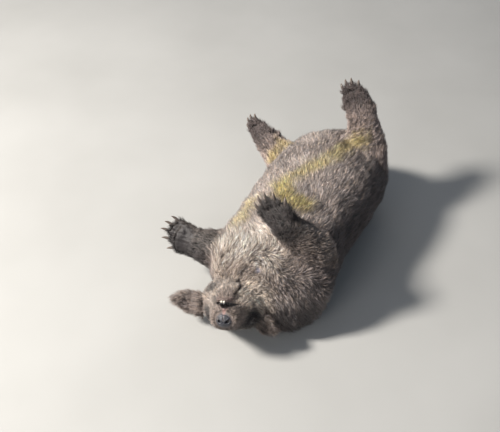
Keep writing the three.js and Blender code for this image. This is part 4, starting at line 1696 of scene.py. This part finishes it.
@dataclass
class LieOfCoat:
    """Which way the hair lies, how long it is and how thick it grows, over the skin."""

    skin: Skin
    marks: Markings
    foot_reach: float = 75 * MM
    ear_reach: float = 60 * MM
    fairing_rounds: int = 16

    def seen(self, flow: Array) -> Array:
        """Turn the hair to the lie that is seen at some places.

        Args:
            flow: The general lie, one row to a vertex.

        Returns:
            The lie with the seen places followed.
        """
        places, region, landmarks = self.marks.places, self.skin.region, self.marks.landmarks()
        limbs = (Region.FORELEG, Region.HINDLEG, Region.FOOT, Region.EAR)
        for lies, part in (
            (BODY_LIES, ~in_regions(region, *limbs)),
            (FORELEG_LIES, in_regions(region, Region.FORELEG)),
            (HINDLEG_LIES, in_regions(region, Region.HINDLEG)),
        ):
            total, weight = np.zeros_like(places), np.zeros(len(places))
            for (across, down), degrees in lies:
                turn = math.radians(degrees)
                ahead = (across + LIES_STEP * math.cos(turn), down - LIES_STEP * math.sin(turn))
                ends = landmarks.line([(across, down), ahead])
                if len(ends) < 2:
                    continue
                near = bell(away_mm(places, ends[0]), LIES_REACH) * part
                total += near[:, None] * unit(ends[1] - ends[0])
                weight += near
            flow = mix(flow, unit(total), smoothstep(0.03, 0.45, weight))
        return flow

    def nearest_leg(self, places: Array) -> Array:
        """Give each place the direction of the leg it is on.

        Args:
            places: The skin's places.

        Returns:
            One unit vector for each place.
        """
        gaps, ways = [], []
        for side in SIDES:
            for leg in (FORELEG, HINDLEG):
                line = np.array([box_centre(f"{segment}_{side}") for segment in leg])
                gaps.append(along_line(places, line))
                ways.append(unit(line[-1] - line[0]))
        return np.array(ways)[np.argmin(np.array(gaps), axis=0)]

    def flow(self) -> Array:
        """Give a unit vector in the skin at each vertex along which the hair lies.

        Returns:
            One row for each vertex.
        """
        places, normals = self.marks.places, self.marks.normals
        region, head = self.skin.region, self.skin.head
        up, aside = normals @ OUT_OF_BELLY, normals @ TO_RIGHT_FLANK
        rise = 0.35 * np.abs(aside) * smoothstep(0.9, 0.3, up)
        part = 0.22 * np.sign(aside) * smoothstep(0.2, 0.9, up)
        flow = np.tile(TO_TAIL, (len(places), 1)) + OUT_OF_BELLY * rise[:, None]
        flow = flow + TO_RIGHT_FLANK * part[:, None]
        is_foot, is_ear = in_regions(region, Region.FOOT), in_regions(region, Region.EAR)
        lies = [(in_regions(region, Region.HEAD), unit(places - head.at(-12, 0, 2)))]
        lies.append((in_regions(region, Region.FORELEG, Region.HINDLEG), self.nearest_leg(places)))
        for foot in self.skin.feet:
            near = np.linalg.norm(places - foot.middle, axis=1) < self.foot_reach
            lies.append((is_foot & near, foot.distal))
        for side, way in (("left", -1), ("right", 1)):
            near = np.linalg.norm(places - box_centre(f"ear_{side}"), axis=1) < self.ear_reach
            lies.append((is_ear & near, way * head.side))
        for mine, way in lies:
            flow = np.where(mine[:, None], way, flow)
        flow = self.skin.neighbours.blurred(self.seen(flow), self.fairing_rounds)
        swirl = 0.14 * ripple(places, 120 * MM, 41) + 0.10 * ripple(places, 40 * MM, 42)
        return unit(flattened(turned(flow, np.cross(normals, flow), swirl), normals))

    def column(self, name: str, rounds: int) -> Array:
        """Spread one of the coat's sizes over the skin, blurred where regions meet."""
        table = np.array([getattr(COATS[kind], name) for kind in Region])
        return self.skin.neighbours.blurred(table[self.skin.region], rounds)

    def fields(self) -> Field:
        """Collect what the coat reads.

        Returns:
            The coat's sizes, lie and colours over the skin.
        """
        marks, head = self.marks, self.skin.head
        is_head = self.skin.share_of(Region.HEAD, 6)
        face = is_head * smoothstep(100, 20, head.read(marks.places)[0])
        length = self.column("length", 10) * (1 - 0.42 * face)
        for gap in marks.eye_gaps():
            length = length * (1 - 0.45 * smoothstep(34, 15, gap) * is_head)
        density = self.column("density", 4) * (1 + 0.7 * face)
        density = density * (1 - marks.bare) ** 1.5 * np.where(marks.bare > 0.75, 0, 1)
        pressed = 1 - 0.55 * smoothstep(16, 7, marks.places[:, 2] / MM)
        return Field(
            length=length * MM * marks.short,
            width=self.column("width", 10) * (1 - 0.25 * face) * MM,
            density=density * pressed,
            lift=np.radians(self.column("lift_deg", 8)) * pressed,
            flow=self.flow(),
            normal=marks.normals,
            colour=marks.colour,
            region=self.skin.region,
        )


@dataclass
class Tufts:
    """All tufts before they are sorted into pieces: one row to a tuft."""

    points: Array  # three round the root, three round the bend, and the tip
    colours: Array
    uv: Array
    guard: Array
    region: Array
    root: Array


ALL_POINTS = [0, 1, 2, 3, 4, 5, 6]
ROOT_AND_TIP = [0, 1, 2, 6]
BENT = np.array(
    [
        [0, 1, 4], [0, 4, 3], [1, 2, 5], [1, 5, 4], [2, 0, 3], [2, 3, 5],
        [3, 4, 6], [4, 5, 6], [5, 3, 6], [0, 2, 1],
    ]
)
STRAIGHT = np.array([[0, 1, 3], [1, 2, 3], [2, 0, 3], [0, 2, 1]])
MAP_CORNERS = np.array([[-1, -1], [0, -1], [1, -1], [-1, 0.2], [0, 0.2], [1, 0.2], [0, 1]])
ALONG_TONES = (0.6, 0.6, 0.6, 1.0, 1.0, 1.0, 1.2)  # dusky at the root, paler at the tip


@dataclass
class Coat:
    """The coat: closed tufts, bent guard hair over straight underfur, that lie along the skin."""

    skin: Skin
    values: Field
    finish: CoatFinish
    total: int = 226_000
    guard_share: float = 0.4
    underfur_length: float = 0.72
    triangles_to_a_piece: int = 188_000
    sink: float = 1.4 * MM
    floor_gap: float = 0.6 * MM
    turn_spread: float = 0.20
    length_spread: float = 0.16
    lift_spread: float = 0.26
    stray: float = 0.10
    clump_share: float = 0.16
    pull: float = 0.32
    patch: float = 0.0015  # half width of a tuft's place on the map
    streak_width: float = 3.0 * MM
    streak_length: float = 34.0 * MM
    streak_steps: int = 11
    strand_contrast: float = 0.18
    streak_contrast: float = 0.31
    dark_share: float = 0.14
    seed: int = 7

    def scattered(self) -> tuple[Array, Array, Array, Array]:
        """Choose the tufts' roots, more of them where the coat is dense.

        Returns:
            The triangle of each root, its barycentric shares, and the skin's places and triangles.
        """
        rng = np.random.default_rng(self.seed)
        places, triangles = mesh_arrays(self.skin.thing.data)
        a, b, c = (places[triangles[:, k]] for k in range(3))
        area = 0.5 * np.linalg.norm(np.cross(b - a, c - a), axis=1)
        edges = np.cumsum(area * self.values.density[triangles].mean(axis=1))
        spots = (np.arange(self.total) + rng.random(self.total)) * (edges[-1] / self.total)
        face = np.minimum(np.searchsorted(edges, spots), len(triangles) - 1)
        u, v = rng.random(self.total), rng.random(self.total)
        over = u + v > 1
        u[over], v[over] = 1 - u[over], 1 - v[over]
        return face, np.stack([1 - u - v, u, v], axis=1), places, triangles

    def root_map(self, face: Array, shares: Array) -> Array:
        """Give each root's place on the skin's unwrap.

        Args:
            face: The triangle of each root.
            shares: Its barycentric shares.

        Returns:
            One map place for each root.
        """
        mesh = self.skin.thing.data
        corners = np.empty(len(mesh.loops) * 2, np.float32)
        mesh.uv_layers[BAKE_MAP].data.foreach_get("uv", corners)
        loops = np.empty(len(mesh.loop_triangles) * 3, np.int32)
        mesh.loop_triangles.foreach_get("loops", loops)
        uv = corners.reshape(-1, 2)[loops.reshape(-1, 3)[face]]
        return (uv * shares[:, :, None]).sum(axis=1)

    def tufts(self) -> Tufts:
        """Work out every tuft's seven points, its colours, its map patch and its region.

        Returns:
            All tufts.
        """
        rng, count = np.random.default_rng(self.seed + 1), self.total
        face, shares, places, triangles = self.scattered()
        corners = triangles[face]

        def at(values: Array) -> Array:
            """Read values of the skin at the roots."""
            weights = shares if values.ndim == 1 else shares[:, :, None]
            return (values[corners] * weights).sum(axis=1)

        guard = rng.random(count) < self.guard_share
        root, normal, flow = at(places), unit(at(self.values.normal)), at(self.values.flow)
        streak = self.streaks(root, flow)
        turn = rng.normal(0, self.turn_spread, count)
        flow = unit(turned(flow, unit(np.cross(flow, normal)), turn))
        flow = unit(flattened(flow, normal))
        side = np.cross(flow, normal)
        length = at(self.values.length) * rng.normal(1, self.length_spread, count).clip(0.55, 1.5)
        length *= np.where(guard, 1.0, self.underfur_length)
        length *= 1 + 0.10 * ripple(root, 45 * MM, 51)
        width = at(self.values.width) * rng.uniform(0.75, 1.25, count)
        lift = at(self.values.lift) * rng.normal(1, self.lift_spread, count).clip(0.35, 1.7)
        reach = (0.5 * length)[:, None]
        middle = root + turned(flow, normal, lift) * reach
        tip_way = turned(flow, normal, lift * np.where(guard, 0.22, 0.75))
        stray = rng.normal(0, self.stray, count)[:, None] * side
        tip = middle + unit(tip_way + stray) * reach
        middle, tip = self.clumped(root, middle, tip, length)
        middle, tip = self.above_floor(middle), self.above_floor(tip)
        ring_up = unit(np.cross(side, middle - root))
        ring_up = np.where((ring_up * normal).sum(axis=1)[:, None] < 0, -ring_up, ring_up)
        low = root - normal * self.sink
        half, high = side * (width[:, None] * 0.5), ring_up * (width[:, None] * 0.34)
        points = [low + half, low + high, low - half]
        points += [middle + half * 0.72, middle + high * 0.8, middle - half * 0.72, tip]
        return Tufts(
            points=np.stack(points, axis=1),
            colours=self.strand_colours(at(self.values.colour), streak, rng),
            uv=self.root_map(face, shares),
            guard=guard,
            region=self.values.region[corners[:, 0]],
            root=root,
        )

    def streaks(self, root: Array, flow: Array) -> Array:
        """Give the light and dark streaks of the coat: fine noise averaged along the hair."""
        total = np.zeros(len(root))
        for step in np.linspace(-0.5, 0.5, self.streak_steps):
            total += grain(root + flow * (step * self.streak_length), self.streak_width, 61)
        return total / total.std()

    def leaders(self, root: Array) -> Array:
        """Give each tuft the number of the tuft that its clump gathers round.

        Args:
            root: Roots of the tufts.

        Returns:
            One number for each tuft.
        """
        rng = np.random.default_rng(self.seed + 2)
        chosen = np.nonzero(rng.random(len(root)) < self.clump_share)[0]
        tree = KDTree(len(chosen))
        for k, index in enumerate(chosen):
            tree.insert(root[index], k)
        tree.balance()
        return chosen[np.array([tree.find(place)[1] for place in root])]

    def clumped(self, root: Array, middle: Array, tip: Array, length: Array) -> tuple[Array, Array]:
        """Draw the tufts of a clump together towards their leader's tip.

        Args:
            root: Roots of the tufts.
            middle: Their bends.
            tip: Their tips.
            length: Their lengths.

        Returns:
            The bends and the tips, drawn together.
        """
        leader, rng = self.leaders(root), np.random.default_rng(self.seed + 3)
        gap = np.linalg.norm(root - root[leader], axis=1)
        pull = self.pull * smoothstep(0.75, 0.1, gap / length) * rng.uniform(0.3, 1.0, len(root))
        return mix(middle, middle[leader], 0.35 * pull), mix(tip, tip[leader], pull)

    def above_floor(self, places: Array) -> Array:
        """Press points that reach below the floor back up onto it."""
        return np.maximum(places, (-np.inf, -np.inf, self.floor_gap))

    def strand_colours(self, base: Array, streak: Array, rng: np.random.Generator) -> Array:
        """Colour a tuft's points: dusky at the root, pale banded near the tip.

        Args:
            base: The coat's colour at each root.
            streak: How light each root's streak is.
            rng: Draws the strands' own differences.

        Returns:
            Seven colours for each tuft.
        """
        tone = 1 + self.strand_contrast * rng.normal(size=len(base)) + self.streak_contrast * streak
        dark_hair = rng.random(len(base)) < self.dark_share
        tone = np.where(dark_hair, tone * 0.55, tone).clip(0.3, 1.8)
        warm = 1 + 0.04 * rng.normal(size=(len(base), 1)) * np.array([[1.0, 0.2, -1.2]])
        strand = base * tone[:, None] * warm
        return np.clip(np.stack([strand * share for share in ALONG_TONES], axis=1), 0.003, 0.95)

    def build(self) -> list[bpy.types.Object]:
        """Make the coat's pieces.

        Returns:
            The piece objects.
        """
        made, material, pieces = self.tufts(), self.finish.material(), []
        for region, coat in COATS.items():
            mine = np.nonzero(made.region == region.value)[0]
            mine = mine[np.argsort(made.root[mine, 1], kind="stable")]
            cost = len(STRAIGHT) * len(mine)
            cost += (len(BENT) - len(STRAIGHT)) * int(made.guard[mine].sum())
            parts = max(1, math.ceil(cost / self.triangles_to_a_piece))
            for number, chosen in enumerate(np.array_split(mine, parts), start=1):
                label = coat.piece if parts == 1 else f"{coat.piece}_{number}"
                pieces.append(worn(self.piece(label, made, chosen), material))
                log.info("%s: %d tufts", label, len(chosen))
        return pieces

    def piece(self, name: str, made: Tufts, chosen: Array) -> bpy.types.Object:
        """Make one piece of the coat.

        Args:
            name: Name of the piece.
            made: All tufts.
            chosen: Numbers of this piece's tufts.

        Returns:
            The piece.
        """
        surfaces, colours, maps = [], [], []
        for guard, pattern, used in ((True, BENT, ALL_POINTS), (False, STRAIGHT, ROOT_AND_TIP)):
            mine = chosen[made.guard[chosen] == guard]
            starts = len(used) * np.arange(len(mine))
            faces = (pattern[None] + starts[:, None, None]).reshape(-1, 3)
            surfaces.append((made.points[mine][:, used].reshape(-1, 3), faces))
            colours.append(made.colours[mine][:, used].reshape(-1, 3))
            uv = made.uv[mine][:, None, :] + self.patch * MAP_CORNERS[used][None]
            maps.append(np.clip(uv, 0.0, 1.0)[:, pattern, :].reshape(-1, 2))
        thing = make_mesh(name, *joined(surfaces))
        set_points(thing, COLOUR_NAME, np.concatenate(colours))
        layer = thing.data.uv_layers.new(name=BAKE_MAP)
        layer.data.foreach_set("uv", np.concatenate(maps).astype(np.float32).ravel())
        return thing


# Claws, eyes and nose


@dataclass
class Claws:
    """The digging claws of one foot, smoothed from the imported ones."""

    foot: Foot
    levels: int = 2
    fatten: float = 0.2 * MM

    def build(self) -> bpy.types.Object:
        """Make one piece of all the foot's claws.

        Returns:
            The piece.
        """
        surfaces, tips = [], []
        for claw in self.foot.claws:
            span = claw.tip - claw.root
            share = (claw.places - claw.root) @ span / (span @ span)
            thick = self.fatten * smoothstep(1.0, 0.5, share)
            out = vertex_normals(claw.places, claw.triangles) * thick[:, None]
            surfaces.append((claw.places + out, claw.triangles))
            tips.append(np.clip(share, 0, 1))
        name = self.foot.node.replace("forepaw", "fore_claws").replace("hind_foot", "hind_claws")
        thing = make_mesh(name, *joined(surfaces))
        set_points(thing, "towards_tip", np.concatenate(tips))
        round_off = thing.modifiers.new("round", "SUBSURF")
        round_off.levels = round_off.render_levels = self.levels
        thing = settled(thing)
        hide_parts(*[claw.node for claw in self.foot.claws])
        return worn(thing, HornFinish(f"horn_{self.foot.node}").material())


@dataclass
class Eye:
    """One eyeball with a clear bulge over the iris."""

    side: str
    head: HeadFrame
    radius: float = 9.0 * MM
    bulge: float = 0.7 * MM
    iris: float = 5.4 * MM
    rings: int = 30
    sides: int = 40
    crowding: float = 1.35  # draws the rings towards the pupil

    def build(self) -> bpy.types.Object:
        """Make the eye.

        Returns:
            The piece.
        """
        way, head = (1 if self.side == "right" else -1), self.head
        gaze = unit(0.86 * way * head.side + 0.42 * head.forward - 0.2 * head.throat)
        across = unit(np.cross(gaze, head.throat))
        up = np.cross(gaze, across)
        rings = [math.pi * (k / self.rings) ** self.crowding for k in range(1, self.rings)]
        sphere, faces = ball(rings, self.sides)
        wide, front = np.hypot(sphere[:, 0], sphere[:, 1]), sphere[:, 2] > 0
        clear = np.maximum(0.0, 1 - (self.radius * wide / self.iris) ** 2) ** 1.5
        far = self.radius * sphere[:, 2] + self.bulge * clear * front
        spokes = self.radius * (sphere[:, :1] * across + sphere[:, 1:2] * up)
        places = box_centre(f"eye_{self.side}") + gaze * far[:, None] + spokes
        thing = make_mesh(f"eye_ball_{self.side}", places, faces)
        set_points(thing, "from_pupil", np.where(front, np.minimum(1.0, wide), 1.0))
        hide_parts(f"eye_{self.side}")
        return worn(thing, EyeFinish().material())


@dataclass
class NosePad:
    """The nose pad, remade finer, with comma shaped nostrils, soft rims and a middle groove."""

    head: HeadFrame
    voxel: float = 0.75 * MM
    comma: tuple[Spot, ...] = ((-5, 8.5, -6), (-3, 12, -4.5), (1, 17.5, 1.5))
    groove: tuple[Spot, ...] = ((-5, 0, -6), (-4, 0, 2), (-1, 0, 10), (4, 0, 16))

    def line_gap(self, places: Array, line: tuple[Spot, ...], way: int = 1) -> Array:
        """Measure how far each place is from a line, or from its mirror, in metres."""
        spots = [self.head.at(behind, way * right, down) for behind, right, down in line]
        return along_line(places, np.array(spots))

    def build(self) -> bpy.types.Object:
        """Make the pad.

        Returns:
            The piece.
        """
        thing = remeshed(make_mesh("nose_cushion", *node_arrays("nose_pad")), self.voxel)
        near = Neighbours(thing.data)
        places, triangles = mesh_arrays(thing.data)
        places = near.faired(places, 6)
        normals = unit(near.blurred(vertex_normals(places, triangles), 2))
        gap = np.minimum(*[self.line_gap(places, self.comma, way) for way in (-1, 1)]) / MM
        relief = 0.13 * ripple(places, 3.2 * MM, 71) + 0.21 * ripple(places, 9 * MM, 72)
        relief += 0.9 * bell(gap - 5.4, 1.5) - 1.8 * bell(gap, 2.6)
        relief -= 1.5 * bell(self.line_gap(places, self.groove), 1.2 * MM)
        moved(thing, places + normals * (relief * MM)[:, None])
        set_points(thing, "nostril", smoothstep(4.6, 2.8, gap))
        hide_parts("nose_pad")
        return worn(thing, NoseFinish().material())


@dataclass
class Whiskers:
    """Whiskers on the upper lip, the cheek, the brow and the chin, grown by one node tree."""

    skin: Skin
    length: float = 34 * MM
    radius: float = 0.32 * MM
    sink: float = 1.0 * MM
    curve_points: int = 7
    ring_points: int = 5
    thin_end: float = 0.12
    from_side: float = 120.0
    seed: int = 83
    # For the lip, cheek, brow and chin: how many, then their span behind the muzzle and down.
    rows: tuple[tuple[int, float, float, float, float], ...] = (
        (9, 16, 40, 6, 20),
        (4, 62, 80, 20, 34),
        (3, 60, 66, -32, -26),
        (4, 36, 48, 46, 52),
    )

    def roots(self) -> tuple[Array, Array, Array]:
        """Choose roots on the skin with the way and length of each whisker.

        Returns:
            Places, unit vectors and shares of the full length.
        """
        rng = np.random.default_rng(self.seed)
        tree = surface_tree(*mesh_arrays(self.skin.thing.data))
        head, found = self.skin.head, []
        for count, b0, b1, d0, d1 in self.rows:
            for way, k in ((way, k) for way in (-1, 1) for k in range(count)):
                behind = b0 + (b1 - b0) * (k % 3) / 2 + rng.uniform(-3, 3)
                down = d0 + (d1 - d0) * (k // 3) / max(1, (count - 1) // 3) + rng.uniform(-2, 2)
                start = Vector(head.at(behind, way * self.from_side, down))
                place, normal = tree.ray_cast(start, Vector(-way * head.side))[:2]
                if place is None:
                    continue
                normal = np.array(normal)
                aim = unit(0.55 * normal - 0.75 * head.forward + 0.25 * way * head.side)
                found.append((np.array(place) - self.sink * normal, aim, rng.uniform(0.5, 1.0)))
        return tuple(np.array(column) for column in zip(*found))

    def tree(self, material: bpy.types.Material) -> bpy.types.NodeTree:
        """Build the node tree that sets a curved tapering hair on each root.

        Args:
            material: What the hairs are made of.

        Returns:
            The node tree.
        """
        group = bpy.data.node_groups.new("whiskers", "GeometryNodeTree")
        for name, way, kind in (
            ("Geometry", "INPUT", "NodeSocketGeometry"),
            ("Whisker length", "INPUT", "NodeSocketFloat"),
            ("Whisker radius", "INPUT", "NodeSocketFloat"),
            ("Geometry", "OUTPUT", "NodeSocketGeometry"),
        ):
            group.interface.new_socket(name, in_out=way, socket_type=kind)

        def add(kind: str, output: int | str, inputs: dict, **settings: str) -> Socket:
            """Add a node, feed its inputs and give one of its outputs."""
            return add_node(group, kind, inputs, **settings).outputs[output]

        start, end = group.nodes.new("NodeGroupInput").outputs, group.nodes.new("NodeGroupOutput")
        ends = {"Start": (0, 0, 0), "Middle": (0, 0, 0.55), "End": (0.22, 0, 1.0)}
        bow = add("GeometryNodeCurveQuadraticBezier", 0, ends | {"Resolution": self.curve_points})
        size = add("ShaderNodeCombineXYZ", 0, {axis: start["Whisker length"] for axis in "XYZ"})
        bow = add("GeometryNodeTransform", 0, {"Geometry": bow, "Scale": size})
        along = add("GeometryNodeSplineParameter", "Factor", {})
        taper = {"To Min": 1.0, "To Max": self.thin_end, "Value": along}
        taper = add("ShaderNodeMapRange", 0, taper)
        bow = add("GeometryNodeSetCurveRadius", 0, {"Curve": bow, "Radius": taper})
        ring = {"Resolution": self.ring_points, "Radius": start["Whisker radius"]}
        ring = add("GeometryNodeCurvePrimitiveCircle", 0, ring)
        hair = {"Curve": bow, "Profile Curve": ring, "Fill Caps": True}
        hair = add("GeometryNodeCurveToMesh", 0, hair)
        named = "GeometryNodeInputNamedAttribute"
        aim = add(named, "Attribute", {"Name": "aim"}, data_type="FLOAT_VECTOR")
        share = add(named, "Attribute", {"Name": "share"}, data_type="FLOAT")
        turn = add("FunctionNodeAlignRotationToVector", 0, {"Vector": aim})
        grown = {"Points": start["Geometry"], "Instance": hair, "Rotation": turn, "Scale": share}
        grown = add("GeometryNodeInstanceOnPoints", 0, grown)
        grown = add("GeometryNodeRealizeInstances", 0, {0: grown})
        grown = add("GeometryNodeSetMaterial", 0, {"Geometry": grown, "Material": material})
        group.links.new(grown, end.inputs[0])
        return group

    def build(self) -> bpy.types.Object:
        """Make all whiskers as one piece.

        Returns:
            The piece.
        """
        root, aim, share = self.roots()
        mesh = bpy.data.meshes.new("whiskers")
        mesh.vertices.add(len(root))
        mesh.vertices.foreach_set("co", root.astype(np.float32).ravel())
        layer = mesh.attributes.new("aim", "FLOAT_VECTOR", "POINT")
        layer.data.foreach_set("vector", aim.astype(np.float32).ravel())
        thing = linked("whiskers", mesh)
        set_points(thing, "share", share)
        material = WhiskerFinish().material()
        grow = thing.modifiers.new("grow", "NODES")
        grow.node_group = self.tree(material)
        sizes = {"Whisker length": self.length, "Whisker radius": self.radius}
        for item in grow.node_group.interface.items_tree:
            if item.in_out == "INPUT" and item.name in sizes:
                grow[item.identifier] = sizes[item.name]
        return worn(settled(thing), material)


# The whole animal


def dress_teeth() -> None:
    """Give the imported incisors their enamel."""
    material = EnamelFinish().material()
    for side in SIDES:
        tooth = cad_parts[f"incisor_lower_{side}"]
        tooth.data.materials.clear()
        tooth.data.materials.append(material)


def main() -> None:
    """Build the animal in order: view, studio, skin, coat, then the bare parts."""
    logging.basicConfig(level=logging.INFO, format="%(message)s")
    view, head = ViewPoint(), HeadFrame()
    view.build()
    Studio().build()
    feet = [Foot(name) for name in FOOT_NODES]
    skin = Skin(view, head, feet)
    skin.build()
    marks = Markings(skin)
    marks.fold()
    marks.paint()
    marks.dress()
    skin.unwrap()
    log.info("skin: %d vertices", len(marks.places))
    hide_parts(*flesh_regions())
    worn(skin.thing, SkinFinish().material())
    Coat(skin, LieOfCoat(skin, marks).fields(), CoatFinish()).build()
    makers = [Claws(foot) for foot in feet] + [Eye(side, head) for side in SIDES]
    for maker in makers + [NosePad(head), Whiskers(skin)]:
        log.info("%s", maker.build().name)
    dress_teeth()


if __name__ == "__main__":
    main()
